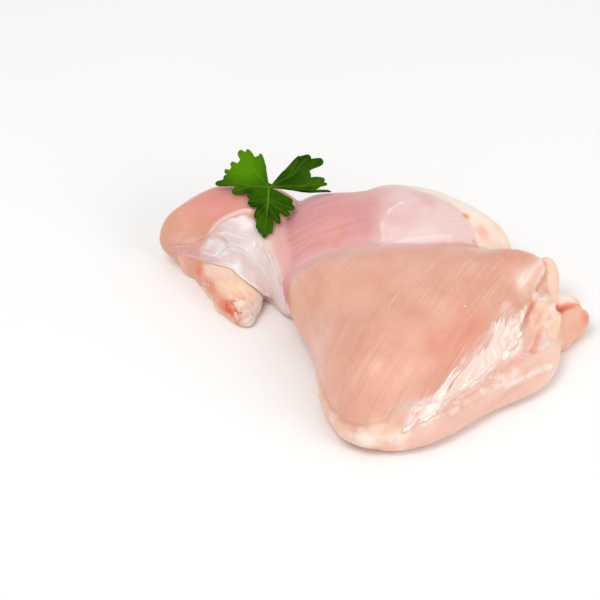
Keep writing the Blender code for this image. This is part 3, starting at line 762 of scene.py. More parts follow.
MORE_COVER = {
    "fat": border_fat + fat_below + 0.75 * back_rim,
    "film": 0.7 * weight["slope"] * (1 - rosy_side) + 0.85 * milky + 0.25 * silvery + 0.4 * film_shreds,
    "white": white_lines + white_rims + 0.1 * rim_fat + 0.35 * border_fat,
    "pink": 0.9 * rosy_side * weight["slope"] + tongue_warmth * patch((-46, 90, 22), 18, 1.0),
    "warm": (tongue_warmth * patch((-46, 89, 22), 16, 1.0) + 0.4 * hollow
             + 0.4 * weight["side"] * step(folded, 0.2, -0.2)),
    "spot": 0,
    "blood": in_slit + (0.8 * step(hollow, 0.5, 1.0) + 0.6 * blotchy) * flap_end,
}
for name, mask in MORE_COVER.items():
    mask = mask + by_lobe(ON_LOBES.get(name, {}))
    mask = mask + sum(share * along_line(line, width) for line, width, share in ON_LINES[name])
    mask = mask + sum(share * patch(*place) for share, *place in ON_PATCHES.get(name, ()))
    mask = np.clip(mask, 0, 1)
    store(meat.data, name, mask)
    print(name, "covers", round(float(mask.mean()), 3))
streaks = streaks + 0.08 * weight["tongue"] * step(y, 88, 96)
# Pale threads round the nose's top are painted highlight strokes; those in the silvery film are its own.
streaks = streaks + 1.2 * silvery + 0.8 * patch((45, 52.5, 23), 7, 1.0)
store(meat.data, "streaks", np.clip(streaks, 0, 1))
store(meat.data, "grain", grain, "FLOAT_VECTOR")

# %% Put the meat in its place
meat.data.shade_smooth()
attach(meat, "root")
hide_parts("thigh")

# %% [markdown]
# ## Silverskin
# At the narrow end a tight, wet, silvery membrane spans from the tongue's crease down to the flap. It is a
# grid stretched between an upper and a lower line, shrunk onto the meat by a modifier, and then wrinkled:
# its wrinkles run the long way, as they do in film that is pulled at its ends. The grid starts a little
# outside the meat, because the modifier would leave the middle of a dome bare if it started inside.

# %% Stretch the silverskin
FILM_TOP = [(-63.2, 86, 8), (-60.4, 83, 9.8), (-56.6, 80.4, 12.2), (-52.6, 79.6, 14.3), (-50.1, 79.7, 16.3),
            (-48.5, 80, 18.3), (-46.1, 80.7, 20.7), (-42.8, 81.6, 22.5), (-39, 82.3, 23.2), (-35.5, 80, 22),
            (-33.7, 74, 20.5), (-31.2, 68.5, 18.6), (-29.1, 64, 16.2), (-27, 59.5, 13.3)]
FILM_BOTTOM = [(-62.5, 84.5, 6.5), (-58.3, 80.2, 7.5), (-54.5, 76.5, 8.8), (-51.3, 73.5, 10),
               (-46.5, 69.7, 12.3), (-43.2, 68.3, 12.3), (-39, 64.8, 10.5), (-36.3, 63.5, 8.5),
               (-34, 64.1, 5.5), (-32.2, 65.5, 3.5), (-30, 64.3, 2.5), (-27.5, 60.5, 2.5), (-26, 57.5, 3)]
FILM_GRID = (210, 90)
FILM_BULGE = (-0.8, -1.8, 2.0)
FILM_EASING_STEPS = 25
SHEET_GAP = 0.2


def along_both(line, shares):
    """The line's places at the shares of the way from its first point to its last, point by point."""
    own_shares = np.linspace(0, 1, len(line))
    return np.column_stack([np.interp(shares, own_shares, column) for column in np.array(line).T])


def stretched(name, top, bottom, columns, rows, target, bulge=(0, 0, 0)):
    """A sheet on the target: point (u, v) lies at u along both lines, at the share v from the top one down.

    It bulges by 4 v (1 - v) sin(pi u), so that it starts outside the target and covers its domes evenly.
    """
    u, v = np.linspace(0, 1, columns), np.linspace(0, 1, rows)
    upper, lower = along_both(top, u), along_both(bottom, u)
    dome = 4 * (v * (1 - v))[:, None] * np.sin(math.pi * u)
    places = upper + v[:, None, None] * (lower - upper) + dome[:, :, None] * np.array(bulge)
    first = columns * np.arange(rows - 1)[:, None] + np.arange(columns - 1)
    faces = np.stack((first, first + columns, first + columns + 1, first + 1), axis=-1).reshape(-1, 4)
    sheet = one_mesh(name, [(places.reshape(-1, 3), faces.tolist())])
    shrink = sheet.modifiers.new("shrink", "SHRINKWRAP")
    shrink.target = target
    shrink.wrap_mode = "ABOVE_SURFACE"
    shrink.offset = SHEET_GAP * MM
    return applied(sheet), *(part.ravel() for part in np.meshgrid(u, v))


silverskin, film_u, film_v = stretched("silverskin", FILM_TOP, FILM_BOTTOM, *FILM_GRID, meat, FILM_BULGE)
film = eased(silverskin.data, FILM_EASING_STEPS)
print("silverskin:", len(film), "points")

# %% Wrinkle the silverskin
FILM_LENGTH, FILM_WIDTH = 48, 17
FILM_THICKNESS = 0.1
# How high each form stands on the film: all of it, its wrinkles, its fine wrinkles and its free lower edge.
FILM_LIFT, COARSE_LIFT, FINE_LIFT, EDGE_LIFT = 0.12, 0.25, 0.08, 0.4
# How deep its grown edge sinks into the meat, and over what width.
EDGE_SINK, SINK_WIDTH = 0.85, 1.3

# Millimetres along and across the film; the wrinkles sway a little as they run along it.
in_film = np.column_stack((FILM_LENGTH * film_u, FILM_WIDTH * film_v + 2.5 * np.sin(5 * film_u), 0 * film_u))
tautness = step(noise(in_film, 7, 61), -0.3, 0.5) * step(film_v, 0, 0.1) * step(film_v, 1.0, 0.92)
coarse = crests(in_film, (15, 2.4, 1), 82, 4.0) * tautness
fine = crests(in_film, (6, 0.9, 1), 63, 4.0) * tautness * step(noise(in_film, 5, 67), -0.1, 0.4)
free_edge = step(film_u, 0.25, 0.4) * step(film_u, 0.8, 0.7)
rim_of_film = step(film_v + 0.05 * noise(in_film, 2, 64), 0.88, 0.97) * free_edge
# Away from its free lower edge the film's rim sinks into the meat, as film that has grown on it does.
from_ends = np.minimum(FILM_LENGTH * film_u, FILM_LENGTH * (1 - film_u))
inwards = np.minimum(FILM_WIDTH * film_v, from_ends) + 0.3 * noise(in_film, 3, 68)
inwards = np.minimum(inwards, FILM_WIDTH * (1 - film_v) + 9 * free_edge)
lift = FILM_LIFT + COARSE_LIFT * coarse + FINE_LIFT * fine + EDGE_LIFT * rim_of_film
lift = lift - EDGE_SINK * step(inwards, SINK_WIDTH, 0)
raised(silverskin.data, film, lift, FILM_THICKNESS)
store(silverskin.data, "crest", np.clip(0.9 * coarse + 0.6 * fine + 0.35 * noise(in_film, 4, 65), 0, 1))
store(silverskin.data, "rim", rim_of_film)
rosy_ends = step(film_u + 0.08 * noise(in_film, 4, 66), 0.52, 0.2) + 0.5 * step(film_u, 0.8, 1)
store(silverskin.data, "rosy", rosy_ends)
# Lighter over the right half of the film, away from its top edge: painted light where the film lies in shade.
store(silverskin.data, "clear", step(film_u, 0.5, 0.75) * step(film_v, 0.1, 0.4))
wall_of_film = silverskin.modifiers.new("thickness", "SOLIDIFY")
wall_of_film.thickness = FILM_THICKNESS * MM
silverskin.data.shade_smooth()
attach(silverskin, "root")
print("wrinkles lift it by up to", round(float(lift.max()), 2), "mm")

# %% [markdown]
# ## Torn fat and torn film
# Where the knife has gone through, soft white fat is smeared along the cut, and a scrap of silvery film lies
# beside it. The smear is a grid stretched along the cut and laid on the meat. It stands up in lumps and
# strands drawn out along the cut, and it sinks into the meat past a ragged edge, so that it has no rim.

# %% Lay a sheet along the cut
# How far the sheet reaches from the cut towards the large muscle and away from it, and its points.
SMEAR_REACH = (10.5, 4.8)
SMEAR_GRID = (620, 126)
SMEAR_EASING_STEPS = 3
CUT_SPACING = 1.0
CUT_SMOOTHING = 10


def smoothed(line, reach):
    """A line of places, each the mean of those up to the reach before and after it."""
    window = np.ones(2 * reach + 1) / (2 * reach + 1)
    return np.column_stack([np.convolve(np.pad(column, reach, "edge"), window, "valid") for column in line.T])


tree_of_meat = tree_of(meat)
cut_line = evenly(laid["cut"], CUT_SPACING)[::-1]
cut_run = np.gradient(cut_line, axis=0)
facing = smoothed(np.array([nearest(tree_of_meat, place)[1] for place in cut_line]), CUT_SMOOTHING)
sideways = np.cross(facing, cut_run)
sideways = sideways / np.linalg.norm(sideways, axis=1)[:, None]
upper_border = smoothed(cut_line + SMEAR_REACH[0] * sideways, CUT_SMOOTHING)
lower_border = cut_line - SMEAR_REACH[1] * sideways
upper_border, lower_border = (np.array([nearest(tree_of_meat, place)[0] for place in border])
                              for border in (upper_border, lower_border))
smear, smear_u, smear_v = stretched("fat_smear", upper_border, lower_border, *SMEAR_GRID, meat)
smear_points = eased(smear.data, SMEAR_EASING_STEPS)
print("the cut is", round(len(cut_line) * CUT_SPACING), "mm long")

# %% Smear the cut with fat and film
# How far along the cut, and how far from it the scrap of film reaches there.
SCRAP = (
    (0, 0), (8, 0), (12, 5), (18, 8), (28, 7.8), (38, 5.8), (46, 3.5), (52, 2.5), (56, 3.5), (59, 2),
    (62, -1),
)
# How far the strands in the scrap slant towards the large muscle for each millimetre along the cut.
SLANT = -0.4
# How far the sheet sinks under the meat where it shows nothing, and at its own edges.
SMEAR_SINK, SMEAR_EDGE_SINK = 0.35, 0.5
SMEAR_FLOOR = 0.05

along_smear = len(cut_line) * (1 - smear_u)
beyond = sum(SMEAR_REACH) * smear_v - SMEAR_REACH[0]
in_cut = np.column_stack((along_smear, beyond, 0 * smear_u))
slanted = in_cut + np.column_stack((0 * smear_u, SLANT * along_smear, 0 * smear_u))
drift = 0.7 * noise(in_cut * (1, 0, 0), 8, 71)
ragged_edge = noise(in_cut, (3.2, 1.3, 1), 72, octaves=3) * (1 + step(along_smear, 48, 58))
fringe = 2.2 * noise(in_cut, (6, 2, 1), 73, octaves=3) + 2.5 * noise(slanted, (14, 0.7, 1), 79)
in_fat = step(1.1 * by_table(along_smear, GAPE) + 1.8 * ragged_edge - np.abs(beyond - drift), 0, 1.8)
in_scrap = step(by_table(along_smear, SCRAP) + fringe + beyond, 0, 2.5) * step(beyond, 0.5, -0.5)
ends = step(along_smear, 2, 6) * step(smear_u, 0.01, 0.05) * step(smear_v, 0, 0.05) * step(smear_v, 1, 0.93)
lumpy = crumbs(in_cut * (0.6, 1, 1), 1.5, 74) + 0.5 * crumbs(in_cut * (0.6, 1, 1), 0.7, 78)
stranded = crests(slanted, (11, 1.1, 1), 75, 3.0) + 0.6 * crests(slanted, (7, 0.5, 1), 76, 3.0)
rise = in_fat * (0.1 + 0.4 * lumpy + 0.15 * stranded + 0.12 * noise(in_cut, 0.7, 77))
rise = np.maximum(rise, in_scrap * (-0.08 + 0.1 * stranded))
rise = rise - SMEAR_SINK * (1 - np.maximum(in_fat, in_scrap))
rise = rise * ends - SMEAR_EDGE_SINK * (1 - ends)
raised(smear.data, smear_points, rise, SMEAR_FLOOR)
# Pinker where the smear lies low between its lumps and strands, as painted shade, and in patches where its
# ragged edge draws in.
in_hollow = step(rise, 0.35, 0.05) * (1 - stranded) + 0.5 * step(ragged_edge, 0.2, -0.4)
store(smear.data, "hollow", np.clip(in_hollow, 0, 1))
store(smear.data, "film", np.clip(in_scrap * (1 - in_fat), 0, 1))
store(smear.data, "strand", np.clip(stranded, 0, 1))
store(smear.data, "thin", step(np.maximum(in_fat, in_scrap * (0.7 + 0.4 * stranded)), 0.75, 0.3))
smear.data.shade_smooth()
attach(smear, "root")
print("fat smear:", len(smear_points), "points")

# %% [markdown]
# ## Crumbs of fat
# Loose crumbs lie along the cut, on the creases and at the end of the flap. Each is a small ball, flattened
# and half sunk in the skin. They are wrapped in one finer skin, so that they run into each other.

# %% Strew the crumbs
CRUMB_FACET = 0.27
CRUMB_EASING_STEPS = 4
CRUMB_FLOOR = 0.05
# For each line: how many crumbs, their least and greatest radius, and how far they stray from it.
STREWN = (
    ("cut", 14, 0.8, 1.5, 0.5), ("cut", 60, 0.2, 0.6, 1.8), ("nose_white", 50, 0.3, 1.0, 0.8),
    ("low_ridge", 70, 0.2, 0.7, 1.0), ("low_crumbs", 110, 0.2, 0.5, 2.2), ("side_crumbs", 70, 0.25, 0.8, 1.0),
    ("front_rim", 40, 0.2, 0.5, 1.0),
    ("groove_below", 90, 0.2, 0.5, 2.4), ("flap_lip", 30, 0.3, 0.8, 0.8), ("flap_white", 50, 0.3, 0.8, 0.6),
)
# Single specks on the large muscle and beside it.
SPECKS = ((23.6, 37.8, 30), (22.1, 33.9, 30), (25.5, 31.6, 28.5), (27, 31.2, 28), (20.2, 20.7, 26.9),
          (-13.2, 67.8, 25.4), (31, 50, 28), (15, 52, 30))
SPECK_RADII = (0.35, 0.5)
# The cluster on the flap's end: its middle, spread, count and radii, and how flat its crumbs are.
FLAP_END, FLAP_SPREAD, FLAP_CRUMBS, FLAP_RADII, FLAP_FLATNESS = (-39.5, 56.8, 4.2), 2.2, 14, (0.5, 1.3), 0.7
MARK_SPACING = 0.3
WIDE_GAPE = 1.6

draw = np.random.default_rng(5)
crumb_ball = ball(12, 8)


def crumb(place, radius, flat=0.5, ahead=(0, 0, 0)):
    """A ball turned at random, drawn out ahead and flattened, with its middle just under the meat's skin."""
    spot, normal = nearest(tree_of_meat, place)
    turn = np.linalg.qr(draw.normal(size=(3, 3)))[0]
    body = (crumb_ball[0] * draw.uniform(0.6, 1.4, 3)) @ turn
    body = body + np.outer(body @ np.array(ahead), ahead)
    body = body - flat * np.outer(body @ normal, normal)
    return spot - 0.2 * radius * normal + body * radius, crumb_ball[1]


strewn = []
for name, count, least, greatest, stray in STREWN:
    line = evenly(laid[name], MARK_SPACING)
    headings = np.gradient(line, axis=0) / MARK_SPACING
    for mark in draw.integers(0, len(line), count):
        # Along the cut the crumbs are larger and stray further where it gapes.
        gape = by_table(MARK_SPACING * mark, GAPE) if name == "cut" else 1.0
        radius = least + (greatest - least) * draw.random() ** 2 * min(gape, WIDE_GAPE) / WIDE_GAPE
        place = line[mark] + draw.normal(0, 0.5 * stray * gape, 3)
        strewn.append(crumb(place, radius, 0.55 + 0.15 * radius, headings[mark]))
for place in FLAP_END + draw.normal(0, FLAP_SPREAD, (FLAP_CRUMBS, 3)):
    strewn.append(crumb(place, draw.uniform(*FLAP_RADII), FLAP_FLATNESS))
strewn += [crumb(place, draw.uniform(*SPECK_RADII)) for place in SPECKS]

torn_fat = one_skin("torn_fat", strewn, CRUMB_FACET)
crumb_points = eased(torn_fat.data, CRUMB_EASING_STEPS)
unevenness = 0.25 * noise(crumb_points, 1.6, 41) + 0.15 * noise(crumb_points, 0.7, 42)
unevenness = unevenness - 0.25 * crests(crumb_points, 2.2, 44)
crumb_points = raised(torn_fat.data, crumb_points, unevenness, CRUMB_FLOOR)
# Pinker in the crumbs' recesses, as painted shade, and in random patches of noise.
in_crumb_hollow = step(unevenness, 0.0, -0.3) + 0.6 * step(noise(crumb_points, 3, 45), 0.1, 0.5)
store(torn_fat.data, "hollow", np.clip(in_crumb_hollow, 0, 1))
store(torn_fat.data, "rosy", step(crumb_points[:, 0] + 2 * noise(crumb_points, 2, 43), -36, -41))
torn_fat.data.shade_smooth()
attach(torn_fat, "root")
print("torn fat:", len(strewn), "crumbs,", len(torn_fat.data.vertices), "points")

# %% [markdown]
# ## Threads
# Fine white threads of membrane lie along the grain and catch the light. Each is a ball drawn out along a
# path on the skin, a fifth of a millimetre thick and pointed at both ends, half sunk in the meat.

# %% Lay the threads
# Where a cluster lies, its heading, how far it spreads along and across, how many threads it has, and their
# least and greatest length and radius.
CLUSTERS = (
    ((7, 3, 14.5), 82, (4, 2.5), 14, (4, 11), (0.05, 0.12)),
    ((31, 26, 19), 60, (8, 2), 8, (3, 9), (0.04, 0.08)),
    ((-9, 50, 28.5), 48, (6, 3), 5, (8, 16), (0.04, 0.07)),
    ((8, 34, 30.5), 62, (12, 12), 6, (3, 8), (0.03, 0.05)),
    # The next pair of threads lies along a long glint: white threads that stand for a painted highlight.
    ((5, 31.4, 30.9), 62, (0.6, 0.2), 2, (5, 8), (0.08, 0.12)),
    ((33, 45, 27), 64, (9, 7), 6, (4, 12), (0.03, 0.05)),
    ((-16, 27, 12), 112, (8, 3), 16, (2, 6), (0.05, 0.09)),
    ((-10, 76, 27), 17, (9, 8), 5, (4, 12), (0.03, 0.05)),
    ((8, 62, 27.5), 14, (9, 1.5), 4, (8, 18), (0.04, 0.06)),
    ((37, 19, 9), 42, (15, 3), 36, (1.5, 5), (0.05, 0.12)),
    ((44, 54, 24), 66, (3, 3), 8, (2, 5), (0.04, 0.07)),
    ((49, 38, 13), 80, (5, 2), 8, (2, 5), (0.05, 0.09)),
    # The last cluster, on the tongue, is white threads laid where short glints show: a painted highlight.
    ((-55, 80.5, 14), -62, (1.5, 5), 12, (1.5, 4), (0.04, 0.07)),
)
thread_ball = ball(5, 8)
# In how many steps a thread follows the skin.
MARKS = 9


def drawn(start, heading, length, radius):
    """A ball drawn out: its height is the share of the way along the path, its rings the thread's thickness.

    The path goes on from each place along its heading, turned into the skin's own plane there.
    """
    unit, unit_faces = thread_ball
    ahead = np.array((math.cos(math.radians(heading)), math.sin(math.radians(heading)), 0.0))
    spot, normal = nearest(tree_of_meat, start)
    spots, normals = [spot], [normal]
    for _ in range(MARKS - 1):
        run = ahead - (ahead @ normal) * normal
        spot, normal = nearest(tree_of_meat, spot + run / np.linalg.norm(run) * length / MARKS)
        spots.append(spot)
        normals.append(normal)
    share = (1 - unit[:, 2]) / 2
    marks = np.linspace(0, 1, MARKS)
    side = np.cross(np.gradient(np.array(spots), axis=0), normals)
    side = side / (np.linalg.norm(side, axis=1)[:, None] + 1e-9)
    middle, out, across = (np.column_stack([np.interp(share, marks, column) for column in np.array(path).T])
                           for path in (spots, normals, side))
    rings = radius * (unit[:, :1] * across + unit[:, 1:2] * out)
    return middle + rings, unit_faces


# How many standard deviations a cluster's spread is, and how much its threads' headings vary, in degrees.
SPREAD, VARIETY = 1.5, 4

threads = []
for middle, heading, (along, across), count, lengths, radii in CLUSTERS:
    turn = math.radians(heading)
    ahead = np.array((math.cos(turn), math.sin(turn), 0))
    aside = np.array((math.sin(turn), -math.cos(turn), 0))
    for _ in range(count):
        length = draw.uniform(*lengths)
        start = np.array(middle) + (draw.normal(0, along / SPREAD) - length / 2) * ahead
        start = start + draw.normal(0, across / SPREAD) * aside
        radius = draw.uniform(*radii)
        threads.append(drawn(start, heading + draw.normal(0, VARIETY), length, radius))
white_threads = one_mesh("white_threads", threads)
white_threads.data.shade_smooth()
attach(white_threads, "root")
print("threads:", len(threads))

# %% [markdown]
# ## Colours and nodes
# A listed colour is an sRGB value, and the shader wants it linear. One function turns it, one adds a
# node with its settings and links, one starts a material, and three make what most finishes have: clouds,
# coats of colour and a roughness that varies. Each finish below is coats of colour laid over each other,
# where a mask or a pattern says how much of each coat shows.

# %% Turn colours linear and add nodes
COLOUR = {"data_type": "RGBA"}
# The Mix node's sockets for colours: how much of the coat shows, what lies below it, the coat, the result.
AMOUNT, BELOW, COAT, MIXED = 0, 6, 7, 2


def paint(hex_colour):
    """An sRGB hex colour as linear red, green, blue and 1.

    Each value c becomes ((c + 0.055) / 1.055)^2.4, or c / 12.92 when it is dark.
    """
    shades = [int(hex_colour[k:k + 2], 16) / 255 for k in (1, 3, 5)]
    return tuple(c / 12.92 if c <= 0.04045 else ((c + 0.055) / 1.055) ** 2.4 for c in shades) + (1.0,)


def add(tree, kind, settings=None, inputs=None):
    """Adds a node, with its settings, and fills its inputs with values or links them to other outputs."""
    made = tree.nodes.new(kind)
    for name, value in (settings or {}).items():
        setattr(made, name, value)
    for name, value in (inputs or {}).items():
        if isinstance(value, bpy.types.NodeSocket):
            tree.links.new(value, made.inputs[name])
        else:
            made.inputs[name].default_value = value
    return made


def new_material(name, made, values, stored=()):
    """A material on the object with a Principled shader and its constant values.

    It gives back the tree, the shader, the object's coordinates and the outputs of the stored values.
    """
    material = bpy.data.materials.new(name)
    material.use_nodes = True
    tree = material.node_tree
    shader = tree.nodes["Principled BSDF"]
    for socket, value in values.items():
        shader.inputs[socket].default_value = value
    place = add(tree, "ShaderNodeTexCoord").outputs["Object"]
    part = {key: add(tree, "ShaderNodeAttribute", {"attribute_name": key}).outputs["Fac"] for key in stored}
    made.data.materials.clear()
    made.data.materials.append(material)
    return tree, shader, place, part


def cloudiness(tree, place, scale, detail):
    """A noise that reads the place in metres: at a scale of 100 its clouds are 10 mm wide."""
    inputs = {"Vector": place, "Scale": scale, "Detail": detail}
    return add(tree, "ShaderNodeTexNoise", {}, inputs).outputs["Fac"]


def coated(tree, shade, coats):
    """Lays coats of colour over a first shade: of each, how much shows, and its hex colour or an output."""
    for amount, coat in coats:
        below, over = (paint(tone) if isinstance(tone, str) else tone for tone in (shade, coat))
        shade = add(tree, "ShaderNodeMix", COLOUR, {AMOUNT: amount, BELOW: below, COAT: over}).outputs[MIXED]
    return shade


def roughened(tree, shader, pattern, least, greatest):
    """Lets the roughness follow a pattern, from the least at 0.3 to the greatest at 0.7 of it."""
    rough = add(tree, "ShaderNodeMapRange", {}, {
        "Value": pattern, "From Min": 0.3, "From Max": 0.7, "To Min": least, "To Max": greatest,
    })
    tree.links.new(rough.outputs[0], shader.inputs["Roughness"])


print("peach flesh in linear values:", [round(c, 3) for c in paint("#e6ae97")])

# %% [markdown]
# ## Wet raw chicken
# Raw chicken is muscle with much water and little pigment: light goes a few millimetres in and comes out
# peach-pink. The fibres show as pale threads and darker lines between them. A film of juice on it gives soft
# wet highlights.

# %% Make the patterns of the meat
FLESH = {"deep": "#dc9f88", "flesh": "#e6ae97", "warm": "#dc8368", "pink": "#dd9796", "thread": "#fae3d9",
         "fibre": "#cf8f80"}
COVERS = {"film": "#ecd2ce", "white": "#fcf1ea", "spot": "#e79a75", "blood": "#dc5a3c"}
FAT = {"yellow": "#f8cfae", "cream": "#fbe5d3"}

# Raw muscle, cut and trimmed, wet with its own juice: a thin coat over flesh that scatters red light most.
tree, shader, place, mask = new_material("wet_raw_chicken", meat, {
    "IOR": 1.38, "Subsurface Weight": 0.3, "Subsurface Radius": (1.0, 0.4, 0.25), "Subsurface Scale": 0.004,
    "Coat Weight": 0.2, "Coat Roughness": 0.2,
}, (*MORE_COVER, "streaks"))
grain_at = add(tree, "ShaderNodeAttribute", {"attribute_name": "grain"}).outputs["Vector"]
# Length, width and depth of the fibres and of the threads among them, in millimetres.
FIBRE_SIZE = (15, 1.0, 4)
THREAD_SIZE = (24, 0.42, 5)
wide, narrow = (
    add(tree, "ShaderNodeMapping", {}, {"Vector": grain_at, "Scale": [1 / side for side in size]}).outputs[0]
    for size in (FIBRE_SIZE, THREAD_SIZE)
)
# Where it reads the place, in metres, the noise makes clouds of 13 mm and grit of 1.4 mm.
fibre_noise, thread_noise, clouds, grit = (
    add(tree, "ShaderNodeTexNoise", {}, {"Vector": at, "Scale": scale, "Detail": detail, "Roughness": rough})
    .outputs["Fac"]
    for at, scale, detail, rough in ((wide, 1.0, 3.0, 0.5), (narrow, 1.0, 1.0, 0.5), (place, 75.0, 6.0, 0.6),
                                     (place, 700.0, 3.0, 0.5))
)
# Between which values of the noise each pattern rises from nothing, and how strong it gets.
cloudy, fibrous, stringy, between_fibres = (
    add(tree, "ShaderNodeMapRange", {}, {"Value": value, "From Min": low, "From Max": high, "To Max": most})
    .outputs[0]
    for value, low, high, most in ((clouds, 0.38, 0.62, 1.0), (fibre_noise, 0.4, 0.7, 0.35),
                                   (thread_noise, 0.62, 0.76, 0.8), (fibre_noise, 0.55, 0.35, 0.45))
)
print("nodes so far:", len(tree.nodes))

# %% Colour the meat
fibrous, stringy, between_fibres = (
    add(tree, "ShaderNodeMath", {"operation": "MULTIPLY"}, {0: amount, 1: mask["streaks"]}).outputs[0]
    for amount in (fibrous, stringy, between_fibres)
)
fat_cream = coated(tree, FAT["yellow"], [(cloudy, FAT["cream"])])
shade = coated(tree, FLESH["deep"], (
    (cloudy, FLESH["flesh"]), (mask["warm"], FLESH["warm"]), (mask["pink"], FLESH["pink"]),
    (mask["film"], COVERS["film"]), (fibrous, FLESH["thread"]), (stringy, FLESH["thread"]),
    (between_fibres, FLESH["fibre"]), (mask["fat"], fat_cream), (mask["white"], COVERS["white"]),
    (mask["spot"], COVERS["spot"]), (mask["blood"], COVERS["blood"]),
))
tree.links.new(shade, shader.inputs["Base Color"])
print("nodes:", len(tree.nodes))

# %% Give the meat its shine
roughened(tree, shader, grit, 0.34, 0.46)
# The fibres stand up by 0.3 mm in the shading alone, and the grit by 0.2 mm.
bump = add(tree, "ShaderNodeBump", {}, {"Height": fibre_noise, "Strength": 0.3, "Distance": 0.3 * MM})
bump = add(tree, "ShaderNodeBump", {}, {
    "Height": grit, "Strength": 0.2, "Distance": 0.2 * MM, "Normal": bump.outputs[0],
})
tree.links.new(bump.outputs[0], shader.inputs["Normal"])
print("shine on:", meat.data.materials[0].name)

# %% [markdown]
# ## Soft white fat
# The crumbs are soft fat, torn off by the knife: creamy white where they stand up, pinker in their hollows,
# as painted shade, and in random patches, and rosy at the end of the flap. Both tones follow values that were
# stored with the crumbs when they were made.

# %% Finish the torn fat
# Fat scatters light more evenly than muscle does, and its grease gives it a dull, broad shine.
tree, shader, place, part = new_material("soft_white_fat", torn_fat, {
    "IOR": 1.44, "Subsurface Weight": 0.3, "Subsurface Radius": (1.0, 0.6, 0.4), "Subsurface Scale": 0.002,
    "Coat Weight": 0.15, "Coat Roughness": 0.2,
}, ("hollow", "rosy"))
# Grit of 1.1 mm and clouds of 7 mm.
grit = cloudiness(tree, place, 900.0, 2.0)
clouds = cloudiness(tree, place, 150.0, 2.0)
rosy = add(tree, "ShaderNodeMath", {"operation": "MULTIPLY"}, {0: part["rosy"], 1: 0.6}).outputs[0]
# The hollow coat is pinker: painted shade in the recesses, with random patches.
coats = ((clouds, "#fbeee4"), (part["hollow"], "#f5c8b4"), (rosy, "#f0a08c"))
shade = coated(tree, "#f6d2c0", coats)
tree.links.new(shade, shader.inputs["Base Color"])
roughened(tree, shader, grit, 0.35, 0.5)
print("finished:", torn_fat.data.materials[0].name)

# %% [markdown]
# ## Smeared fat and film
# The smear is the same fat, pressed out along the cut by the knife, and beside it a scrap of thin film with
# strands in it. Where the smear thins out the flesh shows through, so its edge takes the flesh's colour.

# %% Finish the smear
# Wetter than the crumbs, because juice runs along the cut, so its coat is stronger.
tree, shader, place, part = new_material("smeared_fat_and_film", smear, {
    "IOR": 1.44, "Subsurface Weight": 0.3, "Subsurface Radius": (1.0, 0.6, 0.4), "Subsurface Scale": 0.002,
    "Coat Weight": 0.25, "Coat Roughness": 0.2,
}, ("hollow", "film", "strand", "thin"))
# Grit of 1.1 mm and clouds of 5 mm.
grit = cloudiness(tree, place, 900.0, 2.0)
clouds = cloudiness(tree, place, 200.0, 3.0)
scrap_shade = coated(tree, "#f3cfc4", [(part["strand"], "#fdece4")])
# The hollow coat is pinker: painted shade in the smear's low places.
shade = coated(tree, "#f9dccf", (
    (clouds, "#fef5ed"), (part["hollow"], "#efbfac"), (part["film"], scrap_shade), (part["thin"], "#f2c3b1"),
))
tree.links.new(shade, shader.inputs["Base Color"])
roughened(tree, shader, grit, 0.3, 0.45)
print("finished:", smear.data.materials[0].name)

# %% [markdown]
# ## Membrane threads
# A thread of membrane is too thin to show a pattern, so two close tones along it are enough. They keep it
# from looking like a white wire.

# %% Finish the threads
# Drawn-out membrane, wet and slightly clear.
tree, shader, place, _ = new_material("white_membrane_thread", white_threads, {
    "IOR": 1.4, "Roughness": 0.35, "Subsurface Weight": 0.3, "Subsurface Scale": 0.001, "Coat Weight": 0.2,
})
# Clouds of 4 mm.
clouds = cloudiness(tree, place, 250.0, 1.0)
shade = coated(tree, "#f0c4b2", [(clouds, "#fae0d4")])
tree.links.new(shade, shader.inputs["Base Color"])
print("finished:", white_threads.data.materials[0].name)

# %% [markdown]
# ## Glossy silverskin
# Silverskin is tough, tight connective tissue. It is nearly clear where it lies flat on the muscle and white
# where it wrinkles or ends, because there light meets several layers of it. It is the shiniest thing on the
# thigh. Seeing through it is left to colour: the flesh's tones are mixed in where it is thin.
# Over its right half it is painted lighter: painted light where it lies in shade.

# %% Finish the silverskin
# Smooth wet membrane: a strong, sharp coat over a pale layer that scatters a little.
tree, shader, place, part = new_material("glossy_silverskin", silverskin, {
    "IOR": 1.4, "Subsurface Weight": 0.25, "Subsurface Radius": (1.0, 0.5, 0.4), "Subsurface Scale": 0.002,
    "Coat Weight": 0.35, "Coat Roughness": 0.15,
}, ("crest", "rim", "rosy", "clear"))
# Clouds of 6 mm.
clouds = cloudiness(tree, place, 160.0, 3.0)
# The coat laid by the stored clear value is painted light on the film's shaded right half.
shade = coated(tree, "#edc3bc", (
    (clouds, "#fae6e2"), (part["rosy"], "#eaa398"), (part["clear"], "#ffe2da"), (part["crest"], "#fef6f3"),
    (part["rim"], "#fdf4ee"),
))
tree.links.new(shade, shader.inputs["Base Color"])
roughened(tree, shader, clouds, 0.2, 0.35)
print("finished:", silverskin.data.materials[0].name)

# %% [markdown]
# ## Parsley leaf
# Flat-leaf parsley has three leaflets on one stalk, each cut into blunt teeth. The leaf is a sheet inside an
# outline worked out from a direction, a reach and a spread for every web and tooth. It lies on the meat
# where it would touch it and stands free elsewhere. The veins are furrows, and the blade swells between them.

# %% Shape the leaf
LEAF_HEART = (-31.9, 90.5, 25.0)
